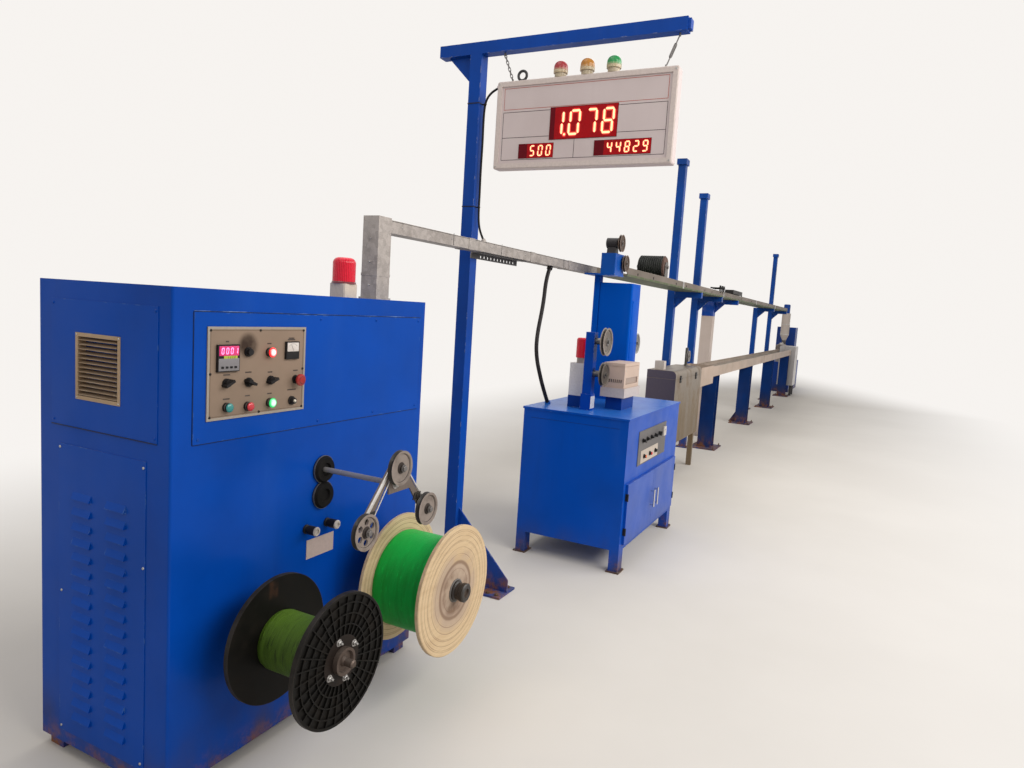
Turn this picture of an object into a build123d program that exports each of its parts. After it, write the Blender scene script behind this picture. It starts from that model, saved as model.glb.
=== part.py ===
from build123d import *
import math
import os

# Cable insulation extrusion line, in millimetres.
# +X runs from the take-up towards the extruder, -Y is the operator's aisle, +Z is up.
# The origin is the centre of the take-up cabinet's base, on the floor.

# Fits and clearances
shaft_clearance = 0.3
seat_clearance = 0.3
bore_clearance = 1.0
door_clearance = 1.0

# Take-up cabinet
cabinet_length = 1282.0
cabinet_depth = 640.0
cabinet_height = 1600.0
cabinet_edge_radius = 8.0
foot_height = 45.0
foot_side = 70.0
foot_inset = 20.0
panel_thickness = 2.0
front_panel_start = 73.0
front_panel_end = 1244.0
front_panel_drop = 70.0
front_panel_clearance = 121.0
end_panel_front = -263.0
end_panel_back = 250.0
end_panel_drop = 60.0
end_panel_height = 404.0
louvre_door_width = 430.0
louvre_door_bottom = 90.0
louvre_door_gap = 61.0
louvre_width = 92.0
louvre_depth = 9.0
louvre_height = 24.0
louvre_pitch = 50.0
louvre_start = 150.0
louvre_top_margin = 120.0
louvre_columns = (-78.0, 92.0)
vent_width = 218.0
vent_drop = 161.0
vent_height = 211.0
vent_centre_y = 14.0
vent_depth = 24.0
vent_frame = 12.0
vent_slat_count = 13
vent_slat_height = 7.0

# Operating panel on the cabinet, with places measured from its near top corner
control_start = 118.0
control_width = 414.0
control_drop = 113.0
control_height = 290.0
control_thickness = 4.0
control_edge = 8.0
lamp_places = ((246.0, 83.0), (252.0, 252.0))
button_places = ((74.0, 252.0), (158.0, 256.0))
selector_places = ((72.0, 176.0), (160.0, 178.0), (254.0, 177.0))
dial_places = ((156.0, 80.0), (353.0, 254.0))
emergency_place = (369.0, 181.0)
controller_place = (74.0, 97.0)
controller_side = 84.0
meter_place = (346.0, 79.0)
meter_side = 60.0
instrument_depth = 9.0
button_radius = 15.0
button_depth = 16.0
emergency_radius = 20.0
emergency_depth = 34.0
selector_lever = 18.0

# Beacon on the cabinet
beacon_x = 170.0
beacon_y = -250.0
beacon_base_side = 78.0
beacon_base_height = 52.0
beacon_radius = 44.0
beacon_height = 100.0

# Spindles and reels
spindle_middle = 8.0
spindle_spread = 340.0
spindle_height = 470.0
spindle_radius = 25.0
bearing_radius = 74.0
bearing_depth = 40.0
drive_disc_radius = 82.0
drive_disc_depth = 14.0
reel_gap = 125.0
reel_width = 280.0
black_flange_radius = 212.5
black_flange_thickness = 16.0
black_rim = 9.0
black_rib_height = 6.0
black_rib_width = 4.0
black_rib_count = 30
black_ring_radii = (112.0, 146.0, 180.0)
black_hub_radius = 80.0
black_winding_radius = 98.0
black_cup_radius = 44.0
black_cup_depth = 18.0
black_tip_radius = 13.0
black_tip_length = 46.0
pale_flange_radius = 260.0
pale_flange_thickness = 15.0
pale_hub_radius = 110.0
pale_winding_radius = 195.0
pale_collar_radius = 40.0
pale_collar_depth = 52.0
winding_slope = 14.0

# Traverse
traverse_height = 958.0
boot_drop = 98.0
boot_radius = 51.0
boot_depth = 20.0
boot_ring = 7.0
traverse_rod_radius = 10.0
traverse_reach = 328.0
traverse_tail = 120.0
traverse_in = 200.0
arm_thickness = 6.0
arm_bar = 34.0
arm_wide_bar = 46.0
arm_apex_rise = 92.0
arm_web_drop = 32.0
rod_boss_radius = 19.0
rod_boss_depth = 26.0
top_pulley_rise = 60.0
side_pulley_drop = 127.0
side_pulley_spread = 181.0
guide_pulley_radius = 62.0
guide_pulley_width = 18.0
guide_pin_radius = 8.0
guide_pulley_gap = 9.0
guide_pulley_holes = 6
push_knob_xs = (-70.0, 41.0)
push_knob_drop = 212.0
push_knob_radius = 17.0
push_knob_length = 56.0
push_knob_cap = 9.0
knob_plate_width = 146.0
knob_plate_height = 72.0
knob_plate_drop = 46.0

# Display post and beam
post_x = 1450.0
post_y = -41.0
post_side = 70.0
post_height = 3005.0
beam_side = 62.0
beam_back = 192.0
beam_front = -1176.0
beam_stub = 14.0
foot_plate_width = 190.0
foot_plate_front = -417.0
foot_plate_back = 120.0
foot_plate_thickness = 12.0
gusset_thickness = 8.0
foot_gusset_rise = 440.0
foot_gusset_toe = 70.0
head_gusset_size = 150.0

# Display board
board_width = 972.0
board_height = 452.0
board_depth = 62.0
board_drop = 157.0
board_back_edge = -182.0
board_corner = 10.0
board_frame = 28.0
board_recess = 7.0
board_bevel = 5.0
window_thickness = 2.0
large_window = (317.0, 685.0, 150.0, 313.0)
speed_window = (145.0, 347.0, 326.0, 401.0)
output_window = (569.0, 865.0, 326.0, 401.0)
signal_places = (348.0, 494.0, 635.0)
signal_radius = 36.0
signal_height = 62.0
signal_base_radius = 30.0
signal_base_height = 22.0
hanger_inset = 46.0
hanger_slope = 28.0
hanger_eye_height = 16.0
hanger_eye_radius = 5.0
chain_wire = 3.5
chain_link_length = 26.0
chain_link_width = 15.0
turnbuckle_radius = 4.0
turnbuckle_body_length = 70.0
turnbuckle_body_width = 22.0
eye_radius = 24.0
eye_wire = 7.0
eye_inset = 130.0

# Trunking between the cabinet and the head of the upper trough
riser_x = 525.0
riser_side = 90.0
riser_top = 1957.0
trunk_depth = 84.0
trunk_height = 56.0
trunk_drop = 8.0
trunk_centre_y = -125.0
flange_thickness = 8.0
flange_rim = 6.0
strap_rise = 100.0
strap_width = 12.0
strap_proud = 1.5
trunk_joint_xs = (1240.0, 1990.0, 2600.0)
joint_cover_length = 60.0
joint_cover_proud = 2.0
bracket_reach = 560.0
bracket_flange = 70.0
bracket_height = 34.0
bracket_thickness = 5.0
bracket_hole_radius = 9.0
bracket_hole_pitch = 40.0

# Capstan desk
desk_start = 2140.0
desk_length = 1240.0
desk_front = -830.0
desk_depth = 710.0
desk_height = 972.0
desk_leg_height = 140.0
desk_leg_length = 84.0
desk_leg_width = 62.0
desk_pad_thickness = 8.0
desk_pad_margin = 12.0
desk_top_thickness = 14.0
desk_top_overhang = 6.0
door_bottom = 175.0
door_drop = 412.0
door_inset = 45.0
door_thickness = 16.0
locker_rebate = 14.0
locker_depth = 560.0
hinge_radius = 6.0
hinge_length = 46.0
hinge_margin = 60.0
handle_length = 96.0
handle_reach = 26.0
handle_radius = 6.0
handle_inset = 42.0
desk_panel_start = 235.0
desk_panel_width = 655.0
desk_panel_drop = 107.0
desk_panel_height = 225.0
desk_knob_count = 5
desk_knob_radius = 15.0
desk_plate_start = 60.0
desk_plate_width = 400.0
desk_plate_height = 84.0
desk_meter_side = 64.0

# Guide column and its pulleys
column_x = 2340.0
column_y = -475.0
column_side = 60.0
column_rise = 506.0
column_shoe_height = 104.0
column_shoe_thickness = 6.0
column_pulley_y = -576.0
column_pulley_rises = (450.0, 240.0)
column_pulley_radii = (90.0, 76.0)
column_pulley_width = 24.0
column_pin_radius = 11.0
column_boss_radius = 21.0
pulley_side_gap = 2.0

# Spark tester on its pedestal
tester_start = 2460.0
tester_length = 320.0
tester_front = -675.0
tester_width = 146.0
tester_rise = 148.0
tester_height = 164.0
tester_lid = 20.0
tester_lid_gap = 3.0
tester_window_height = 42.0
tester_window_depth = 6.0
tray_height = 62.0
tray_lip = 10.0
tray_wall = 4.0
pedestal_inset = 34.0

# Switch box and beacon behind the column
switch_start = 2380.0
switch_length = 80.0
switch_front = -446.0
switch_width = 126.0
switch_rise = 78.0
switch_height = 216.0
desk_beacon_base_radius = 31.0
desk_beacon_base_height = 36.0
desk_beacon_radius = 39.0
desk_beacon_height = 132.0

# Tall capstan housing with its sheave
housing_start = 3000.0
housing_length = 205.0
housing_front = -511.0
housing_width = 254.0
housing_top = 1830.0
housing_edge_radius = 14.0
housing_seam = 4.0
mast_length = 60.0
mast_width = 42.0
sheave_radius = 78.0
sheave_height = 1390.0
sheave_reach = 92.0
sheave_arm_height = 40.0
sheave_arm_thickness = 14.0
sheave_arm_offset = 64.0

# Head bracket over the housing
head_start = 2900.0
head_front = -400.0
head_width = 110.0
head_bottom = 1890.0
head_top = 2036.0
head_length = 200.0
head_base_width = 230.0
head_base_thickness = 12.0
head_nut_radius = 38.0
head_nut_length = 82.0
head_neck = 34.0
head_pulley_radius = 61.0
head_pulley_width = 16.0
head_pulley_gap = 16.0
head_pin_radius = 9.0
head_upper_x = 2938.0
head_upper_z = 2108.0
head_lower_x = 3068.0
head_lower_z = 1975.0

# Upper trough
upper_start = 3160.0
upper_end = 13950.0
upper_front = -410.0
upper_width = 280.0
upper_side = 65.0
trough_wall = 5.0

# Grooved drum and its plates
drum_x = 4290.0
drum_radius = 98.0
drum_length = 236.0
drum_rise = 155.0
drum_fin_count = 12
drum_groove_depth = 13.0
drum_pin_radius = 14.0
drum_end_radius = 87.0
drum_end_depth = 10.0
drum_plate_length = 90.0
drum_plate_thickness = 8.0
drum_plate_gap = 3.0

# Wiper box in the upper trough
wiper_start = 7780.0
wiper_length = 700.0
wiper_front = -372.0
wiper_width = 110.0
wiper_base_height = 62.0
wiper_gap = 16.0
wiper_lid_height = 50.0
wiper_post_side = 14.0

# Uprights and arms that carry the upper trough
upright_side = 80.0
upright_y = -85.0
upright_xs = (5750.0, 6890.0, 13870.0)
upright_tops = (3290.0, 3120.0, 3060.0)
short_upright_x = 11850.0
upright_base_side = 140.0
upright_base_thickness = 12.0
arm_height = 60.0
arm_width = 64.0
arm_gusset = 120.0
cap_length = 130.0
cap_height = 60.0
box_column_x = 7965.0
box_column_side = 150.0
box_column_y = -35.0
box_column_top = 1660.0
box_arm_length = 260.0
box_seam = 4.0

# Lower trough
lower_start = 6560.0
lower_end = 15230.0
lower_front = -440.0
lower_width = 270.0
lower_bottom = 940.0
lower_top = 1060.0
lower_lip = 14.0
joint_x = 10937.0
joint_plate_length = 60.0
joint_plate_thickness = 4.0

# End box between the tank and the trough
end_box_bottom = 868.0
end_box_top = 1078.0

# Posts under the lower trough
trough_post_start = 7130.0
trough_post_pitch = 2704.0
trough_post_count = 4
trough_post_length = 160.0
trough_post_width = 175.0
trough_post_y = -317.0
trough_post_flange = 10.0
trough_post_web = 8.0
trough_plate_length = 420.0
trough_plate_width = 320.0
trough_plate_thickness = 12.0
post_brace_height = 190.0
post_brace_reach = 110.0

# Cooling tank
tank_start = 4760.0
tank_length = 1126.0
tank_front = -450.0
tank_depth = 285.0
tank_bottom = 375.0
tank_top = 1095.0
tank_edge_radius = 45.0
tank_lid_height = 78.0
tank_lid_gap = 3.0
tank_leg_side = 50.0
tank_leg_inset = 20.0
tank_stand_x = 5780.0
tank_stand_side = 26.0
tank_stand_rise = 195.0
tank_sheave_rise = 105.0
tank_sheave_radius = 62.0
tank_sheave_width = 16.0
lid_box_start = 4850.0
lid_box_length = 80.0
lid_box_front = -300.0
lid_box_width = 90.0
lid_box_height = 84.0

# Extruder end
die_tank_length = 570.0
die_tank_gap = 170.0
die_tank_front = -520.0
die_tank_depth = 340.0
die_tank_bottom = 240.0
die_tank_top = 1130.0
die_leg_inset = 80.0
extruder_y = -80.0
extruder_height = 1060.0
extruder_base_start = 16250.0
extruder_base_length = 1900.0
extruder_base_width = 560.0
extruder_base_height = 720.0
crosshead_length = 120.0
crosshead_front = -400.0
crosshead_back = -10.0
crosshead_height = 140.0
crosshead_die_radius = 42.0
crosshead_die_length = 60.0
barrel_length = 1130.0
barrel_radius = 62.0
heater_radius = 92.0
heater_count = 4
heater_gap = 18.0
barrel_foot_length = 50.0
barrel_foot_width = 150.0
gearbox_length = 520.0
gearbox_width = 440.0
gearbox_top = 1560.0
motor_radius = 150.0
motor_length = 330.0
motor_fin_count = 8
motor_fin_depth = 10.0
hopper_setback = 340.0
hopper_radius = 100.0
hopper_bottom = 1360.0
hopper_top = 1900.0
hopper_cone = 130.0
throat_side = 90.0
loader_radius = 76.0
loader_height = 220.0

# Cords. The display cable is given by its places in Y and its share of the drop from board to trunking,
# the desk hose by its steps in X from the trunking and its share of the drop to the desk.
display_cable_radius = 6.0
display_cable_exit = 22.0
cable_gland_radius = 12.0
cable_gland_length = 20.0
display_cable_route = (
    (-170.0, 1.0), (-145.0, 0.987), (-117.0, 0.962), (-98.0, 0.924), (-91.0, 0.866), (-90.0, 0.78),
    (-92.0, 0.65), (-90.0, 0.48), (-92.0, 0.32), (-92.0, 0.2), (-96.0, 0.13), (-109.0, 0.066),
    (-131.0, 0.018),
)
desk_hose_radius = 13.0
desk_hose_x = 2373.0
desk_hose_y = -125.0
desk_hose_route = (
    (0.0, 0.98), (-52.0, 0.905), (-83.0, 0.726), (-180.0, 0.487), (-176.0, 0.345), (-105.0, 0.199),
    (-43.0, 0.096), (16.0, 0.012),
)
desk_hose_drift = -45.0
hose_gland_radius = 19.0
hose_gland_length = 26.0


def block(x0, x1, y0, y1, z0, z1):
    """A box between two opposite corners."""
    return Pos((x0 + x1) / 2, (y0 + y1) / 2, (z0 + z1) / 2) * Box(x1 - x0, y1 - y0, z1 - z0)


def round_x(y, z, x0, x1, radius):
    """A cylinder lying along the line."""
    return Pos((x0 + x1) / 2, y, z) * Rot(0, 90, 0) * Cylinder(radius, x1 - x0)


def round_y(x, z, y0, y1, radius):
    """A cylinder lying across the line."""
    return Pos(x, (y0 + y1) / 2, z) * Rot(90, 0, 0) * Cylinder(radius, y1 - y0)


def round_z(x, y, z0, z1, radius):
    """A cylinder standing up."""
    return Pos(x, y, (z0 + z1) / 2) * Cylinder(radius, z1 - z0)


def turned(x, y, z, profile):
    """A half profile of (radius, offset along Y) points, revolved about a line along Y."""
    return Pos(x, y, z) * revolve(make_face(Polyline(*profile, close=True)), Axis.Y)


def domed(x, y, z0, z1, radius, rounding):
    """A standing cylinder with a rounded top."""
    body = round_z(x, y, z0, z1, radius)
    return fillet(body.edges().group_by(Axis.Z)[-1], rounding)


def plate_yz(x, thickness, points):
    """A flat plate of an outline in Y and Z, centred on x."""
    face = make_face(Polyline(*points, close=True))
    return Pos(x, 0, 0) * extrude(Plane.YZ * face, thickness / 2, both=True)


def plate_xz(y0, y1, points):
    """A flat plate of an outline in X and Z, between two Y places."""
    face = make_face(Polyline(*points, close=True))
    return Pos(0, y1, 0) * extrude(Plane.XZ * face, y1 - y0)


def pulley(x, y, z, radius, width, pin_radius, holes=0):
    """A grooved guide pulley with a dished web and a hub, free to turn on a pin along Y."""
    bore = pin_radius + shaft_clearance
    half = width / 2
    hub = pin_radius + radius * 0.14
    rim = radius * 0.86
    web = half * 0.4
    profile = [
        (bore, -half), (hub, -half), (hub + web, -web), (rim - web, -web), (rim, -half), (radius, -half),
        (rim, 0), (radius, half), (rim, half), (rim - web, web), (hub + web, web), (hub, half), (bore, half),
    ]
    wheel = turned(0, 0, 0, profile)
    if holes:
        hole = round_y(0, (hub + rim) / 2, -half, half, (rim - hub) * 0.3)
        wheel -= [Rot(0, 360 / holes * n, 0) * hole for n in range(holes)]
    return Pos(x, y, z) * wheel


def trough(x0, x1, y0, y1, z0, z1, wall):
    """An open channel with a floor and two sides."""
    return block(x0, x1, y0, y1, z0, z1) - block(x0 - 1, x1 + 1, y0 + wall, y1 - wall, z0 + wall, z1 + 1)


def cord(points, radius):
    """A tube along straight runs joined by tangent arcs, each as large as its two runs allow."""
    corners = [Vector(*point) for point in points]
    bends = []
    for before, corner, after in zip(corners, corners[1:], corners[2:]):
        arriving, leaving = corner - before, after - corner
        half_turn = math.radians(arriving.get_angle(leaving)) / 2
        bends.append(0.45 * min(arriving.length, leaving.length) / math.tan(half_turn))
    path = FilletPolyline(*corners, radius=bends)
    start = Plane(origin=corners[0], z_dir=corners[1] - corners[0])
    tube = sweep(start * Circle(radius), path=path)
    wanted = math.pi * radius**2 * path.length
    ratio = tube.volume / wanted
    print(f"cord {path.length:.0f} mm, tightest bend {min(bends):.0f} mm, volume ratio {ratio:.4f}")
    return tube


def gland(before, end, radius, length):
    """A collar that takes a cord's end and runs on from it."""
    axis = Plane(origin=end, z_dir=Vector(*end) - Vector(*before))
    return axis * Pos(0, 0, length / 2) * Cylinder(radius, length)


def write(name, shape):
    """Save one sub-part as a STEP file named after its node."""
    export_step(shape, f"parts/{name}.step")


os.makedirs("parts", exist_ok=True)

# Take-up cabinet on its feet, with a recess for the vent and a bore for the traverse rod
cabinet_x0 = -cabinet_length / 2
cabinet_x1 = cabinet_length / 2
cabinet_face = -cabinet_depth / 2
cabinet_back = cabinet_depth / 2
traverse_x = spindle_middle
vent_y0 = vent_centre_y - vent_width / 2
vent_y1 = vent_centre_y + vent_width / 2
vent_top = cabinet_height - vent_drop
vent_bottom = vent_top - vent_height
rod_bore = traverse_rod_radius + bore_clearance
rod_bore_end = cabinet_face + traverse_tail + traverse_in + bore_clearance * 10

cabinet = block(cabinet_x0, cabinet_x1, cabinet_face, cabinet_back, foot_height, cabinet_height)
cabinet = fillet(cabinet.edges().filter_by(Axis.Z), cabinet_edge_radius)
cabinet -= block(cabinet_x0 - 1, cabinet_x0 + vent_depth, vent_y0, vent_y1, vent_bottom, vent_top)
cabinet -= round_y(traverse_x, traverse_height, cabinet_face - 1, rod_bore_end, rod_bore)
cabinet += [
    block(x, x + foot_side, y, y + foot_side, 0, foot_height)
    for x in (cabinet_x0 + foot_inset, cabinet_x1 - foot_inset - foot_side)
    for y in (cabinet_face + foot_inset, cabinet_back - foot_inset - foot_side)
]
write("takeup_cabinet", cabinet)

# Cover panels: one on the aisle face, one on the end face and the louvred door below it
panel_face = cabinet_face - panel_thickness
end_face = cabinet_x0 - panel_thickness
front_panel_top = cabinet_height - front_panel_drop
front_panel_bottom = traverse_height + boot_radius + front_panel_clearance
end_panel_top = cabinet_height - end_panel_drop
end_panel_bottom = end_panel_top - end_panel_height
louvre_door_top = end_panel_bottom - louvre_door_gap
louvre_rise = louvre_door_top - louvre_top_margin - louvre_height - louvre_start
louvre_count = int(louvre_rise / louvre_pitch) + 1
front_panel = block(
    cabinet_x0 + front_panel_start, cabinet_x0 + front_panel_end,
    panel_face, cabinet_face, front_panel_bottom, front_panel_top,
)
end_panel = block(end_face, cabinet_x0, end_panel_front, end_panel_back, end_panel_bottom, end_panel_top)
end_panel -= block(end_face - 1, cabinet_x0 + 1, vent_y0, vent_y1, vent_bottom, vent_top)
louvre_door = block(
    end_face, cabinet_x0, -louvre_door_width / 2, louvre_door_width / 2, louvre_door_bottom, louvre_door_top
)
louvre_outline = ((0, 0), (-louvre_depth, 0), (-louvre_depth, 3), (0, louvre_height))
louvre = extrude(
    Plane.XZ * make_face(Polyline(*louvre_outline, close=True)), louvre_width / 2, both=True
)
louvre_door += [
    Pos(end_face, y, louvre_start + louvre_pitch * n) * louvre
    for y in louvre_columns
    for n in range(louvre_count)
]
write("takeup_panels", Part() + [front_panel, end_panel, louvre_door])

# Vent grille in the end panel
grille_x0 = end_face - panel_thickness
grille_x1 = cabinet_x0 + vent_depth - seat_clearance
grille = block(
    grille_x0, grille_x1, vent_y0 + seat_clearance, vent_y1 - seat_clearance,
    vent_bottom + seat_clearance, vent_top - seat_clearance,
)
grille -= block(
    grille_x0 - 1, grille_x1 + 1, vent_y0 + vent_frame, vent_y1 - vent_frame,
    vent_bottom + vent_frame, vent_top - vent_frame,
)
slat_pitch = (vent_top - vent_bottom - 2 * vent_frame) / vent_slat_count
slat_outline = (
    (grille_x0, 0), (grille_x0 + 3, 0), (grille_x1, vent_slat_height), (grille_x1 - 3, vent_slat_height)
)
slat = plate_xz(vent_y0 + vent_frame / 2, vent_y1 - vent_frame / 2, slat_outline)
grille += [
    Pos(0, 0, vent_bottom + vent_frame + slat_pitch * (n + 0.2)) * slat for n in range(vent_slat_count)
]
write("takeup_vent_grille", grille)

# Operating panel and its controls
control_x0 = cabinet_x0 + control_start
control_face = panel_face - control_thickness
control_top = cabinet_height - control_drop
control_panel = block(
    control_x0, control_x0 + control_width, control_face, panel_face,
    control_top - control_height, control_top,
)
control_panel -= block(
    control_x0 + control_edge, control_x0 + control_width - control_edge, control_face - 1, control_face + 1,
    control_top - control_height + control_edge, control_top - control_edge,
)
write("takeup_control_panel", control_panel)
control_face += 1


def push_button(x, z, face, radius, depth):
    """A round actuator in a wider collar, standing out of a panel towards the aisle."""
    collar = depth * 0.35
    return turned(
        x, face, z,
        [
            (0, 0), (radius, 0), (radius, -collar), (radius * 0.74, -collar), (radius * 0.7, -depth),
            (0, -depth),
        ],
    )


def selector(x, z, face, radius, depth, turn):
    """A selector switch: a collar with a turned lever."""
    lever = block(-selector_lever, selector_lever, -depth, 0, -radius * 0.28, radius * 0.28)
    return push_button(x, z, face, radius, depth * 0.6) + Pos(x, face, z) * Rot(0, turn, 0) * lever


def on_panel(place):
    """The X and Z of a place given from the operating panel's near top corner."""
    return control_x0 + place[0], control_top - place[1]


controls = [
    push_button(*on_panel(place), control_face, button_radius, button_depth)
    for place in lamp_places + button_places + dial_places
]
controls += [
    selector(*on_panel(place), control_face, button_radius, button_depth * 1.5, turn)
    for place, turn in zip(selector_places, (-28, 24, -20))
]
emergency_x, emergency_z = on_panel(emergency_place)
controls.append(
    turned(
        emergency_x, control_face, emergency_z,
        [
            (0, 0), (button_radius, 0), (button_radius, -8), (button_radius * 0.6, -9),
            (button_radius * 0.6, -emergency_depth * 0.6), (emergency_radius, -emergency_depth * 0.68),
            (emergency_radius, -emergency_depth * 0.85), (emergency_radius * 0.6, -emergency_depth),
            (0, -emergency_depth),
        ],
    )
)
for place, side in ((controller_place, controller_side), (meter_place, meter_side)):
    x, z = on_panel(place)
    controls.append(
        block(
            x - side / 2, x + side / 2, control_face - instrument_depth, control_face,
            z - side / 2, z + side / 2,
        )
    )
write("takeup_controls", Part() + controls)

# Beacon on the cabinet
half_beacon = beacon_base_side / 2
beacon = block(
    beacon_x - half_beacon, beacon_x + half_beacon, beacon_y - half_beacon, beacon_y + half_beacon,
    cabinet_height, cabinet_height + beacon_base_height,
)
beacon = fillet(beacon.edges().filter_by(Axis.Z), 10)
dome_base = cabinet_height + beacon_base_height
beacon += domed(beacon_x, beacon_y, dome_base, dome_base + beacon_height, beacon_radius, beacon_radius * 0.5)
write("takeup_beacon", beacon)

# Spindle bearings on the cabinet face
spindle_xs = (spindle_middle - spindle_spread, spindle_middle + spindle_spread)
bearing_bore = spindle_radius + shaft_clearance
bearings = Part() + [
    turned(
        x, cabinet_face, spindle_height,
        [
            (bearing_bore, 0), (bearing_radius, 0), (bearing_radius, -bearing_depth * 0.4),
            (bearing_radius * 0.7, -bearing_depth * 0.5), (bearing_radius * 0.62, -bearing_depth),
            (bearing_bore, -bearing_depth),
        ],
    )
    for x in spindle_xs
]
write("spindle_bearings", bearings)

# Reels on their spindles
reel_back = cabinet_face - reel_gap
reel_front = reel_back - reel_width
reel_middle = (reel_back + reel_front) / 2
half_reel = reel_width / 2
reel_bore = spindle_radius + shaft_clearance
black_x, pale_x = spindle_xs
spindle_seat = cabinet_face - seat_clearance
disc_front = reel_back + seat_clearance
disc_back = disc_front + drive_disc_depth

black_spindle = round_y(black_x, spindle_height, reel_front, spindle_seat, spindle_radius)
black_spindle += round_y(black_x, spindle_height, disc_front, disc_back, drive_disc_radius)
black_spindle += turned(
    black_x, reel_front, spindle_height,
    [
        (0, 0), (spindle_radius, 0), (black_cup_radius, -seat_clearance),
        (black_cup_radius, -black_cup_depth),
        (black_cup_radius * 0.8, -black_cup_depth), (black_cup_radius * 0.7, -black_cup_depth * 0.5),
        (black_tip_radius * 1.3, -black_cup_depth * 0.5), (black_tip_radius, -black_cup_depth),
        (black_tip_radius, -black_tip_length), (black_tip_radius * 0.7, -black_tip_length - 4),
        (0, -black_tip_length - 4),
    ],
)
write("black_spindle", black_spindle)

pale_spindle = round_y(pale_x, spindle_height, reel_front, spindle_seat, spindle_radius)
pale_spindle += round_y(pale_x, spindle_height, disc_front, disc_back, drive_disc_radius)
pale_spindle += turned(
    pale_x, reel_front, spindle_height,
    [
        (0, 0), (spindle_radius, 0), (pale_collar_radius, -seat_clearance), (pale_collar_radius, -10),
        (pale_collar_radius * 0.84, -14), (pale_collar_radius * 0.84, -pale_collar_depth * 0.6),
        (pale_collar_radius * 0.94, -pale_collar_depth * 0.66),
        (pale_collar_radius * 0.94, -pale_collar_depth + 4),
        (pale_collar_radius * 0.8, -pale_collar_depth), (pale_collar_radius * 0.45, -pale_collar_depth),
        (pale_collar_radius * 0.4, -pale_collar_depth + 8), (0, -pale_collar_depth + 8),
    ],
)
write("pale_spindle", pale_spindle)


def reel_profile(rim_radius, hub_radius, thickness, recess, rim, hub_rim):
    """Half the section of a reel, with each flange's outer face sunk between a rim and a hub ring."""
    inside = half_reel - thickness
    sunk = half_reel - recess
    half = [
        (rim_radius, inside), (rim_radius, half_reel), (rim_radius - rim, half_reel), (rim_radius - rim, sunk),
        (hub_rim, sunk), (hub_rim, half_reel), (reel_bore, half_reel),
    ]
    return [(r, -y) for r, y in reversed(half)] + [(hub_radius, -inside), (hub_radius, inside)] + half


black_reel = turned(
    0, 0, 0,
    reel_profile(
        black_flange_radius, black_hub_radius, black_flange_thickness, black_rib_height, black_rim,
        black_hub_radius,
    ),
)
rib_inner = black_hub_radius - 1
rib_outer = black_flange_radius - black_rim + 1
rib = block(
    rib_inner, rib_outer, -half_reel, -half_reel + black_rib_height,
    -black_rib_width / 2, black_rib_width / 2,
)
black_reel += [Rot(0, 360 / black_rib_count * n, 0) * rib for n in range(black_rib_count)]
for radius in black_ring_radii:
    black_reel += turned(
        0, 0, 0,
        [
            (radius - black_rib_width / 2, -half_reel), (radius + black_rib_width / 2, -half_reel),
            (radius + black_rib_width / 2, -half_reel + black_rib_height),
            (radius - black_rib_width / 2, -half_reel + black_rib_height),
        ],
    )
write("black_reel", Pos(black_x, reel_middle, spindle_height) * black_reel)

pale_inside = half_reel - pale_flange_thickness
pale_reel = turned(
    pale_x, reel_middle, spindle_height,
    [
        (reel_bore, -half_reel), (pale_flange_radius - 3, -half_reel), (pale_flange_radius, -half_reel + 3),
        (pale_flange_radius, -pale_inside), (pale_hub_radius, -pale_inside), (pale_hub_radius, pale_inside),
        (pale_flange_radius, pale_inside), (pale_flange_radius, half_reel - 3),
        (pale_flange_radius - 3, half_reel),
        (reel_bore, half_reel),
    ],
)
write("pale_reel", pale_reel)


def winding(x, hub_radius, outer_radius, flange):
    """The wire on a reel, as one ring that fills the width between the flanges."""
    half = half_reel - flange - seat_clearance
    inner = hub_radius + seat_clearance
    edge = outer_radius - 4
    return turned(
        x, reel_middle, spindle_height,
        [
            (inner, -half), (edge, -half), (outer_radius, -half + winding_slope),
            (outer_radius, half - winding_slope), (edge, half), (inner, half),
        ],
    )


write("black_winding", winding(black_x, black_hub_radius, black_winding_radius, black_flange_thickness))
write("pale_winding", winding(pale_x, pale_hub_radius, pale_winding_radius, pale_flange_thickness))

# Traverse: rubber boots on the cabinet, the rod, the arm and its three pulleys
boots = Part()
for z in (traverse_height, traverse_height - boot_drop):
    boots += turned(
        traverse_x, cabinet_face, z,
        [
            (0, 0), (boot_radius, 0), (boot_radius, -boot_depth * 0.5),
            (boot_radius - boot_ring, -boot_depth),
            (boot_radius * 0.5, -boot_depth), (boot_radius * 0.42, -boot_depth * 0.6), (0, -boot_depth * 0.6),
        ],
    )
boots -= round_y(traverse_x, traverse_height, cabinet_face - boot_depth - 1, cabinet_face + 1, rod_bore)
write("traverse_boots", boots)

arm_back = cabinet_face - traverse_reach
arm_face = arm_back - arm_thickness
rod = round_y(traverse_x, traverse_height, arm_back, cabinet_face + traverse_tail, traverse_rod_radius)
write("traverse_rod", rod)

half_bar = arm_bar / 2
half_wide = arm_wide_bar / 2
arm_apex = traverse_height + arm_apex_rise
arm_web_bottom = traverse_height - arm_web_drop
top_pulley_z = traverse_height + top_pulley_rise
side_pulley_z = traverse_height - side_pulley_drop
spread = side_pulley_spread
left_bar = plate_xz(
    arm_face, arm_back,
    [
        (-half_bar - 4, arm_apex - 6), (half_bar - 8, arm_apex),
        (-spread + half_wide * 1.1, side_pulley_z - 12), (-spread - half_wide * 0.8, side_pulley_z + 12),
    ],
)
right_web = plate_xz(
    arm_face, arm_back,
    [
        (-half_bar, arm_apex - 8), (half_bar, arm_apex), (spread + half_bar, side_pulley_z + 10),
        (spread - half_bar * 0.6, side_pulley_z - 16), (spread * 0.5, arm_web_bottom),
        (-half_bar * 2.2, arm_web_bottom), (-half_bar * 2.2, arm_web_bottom + 24),
    ],
)
arm = Pos(traverse_x, 0, 0) * (left_bar + right_web)
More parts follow.
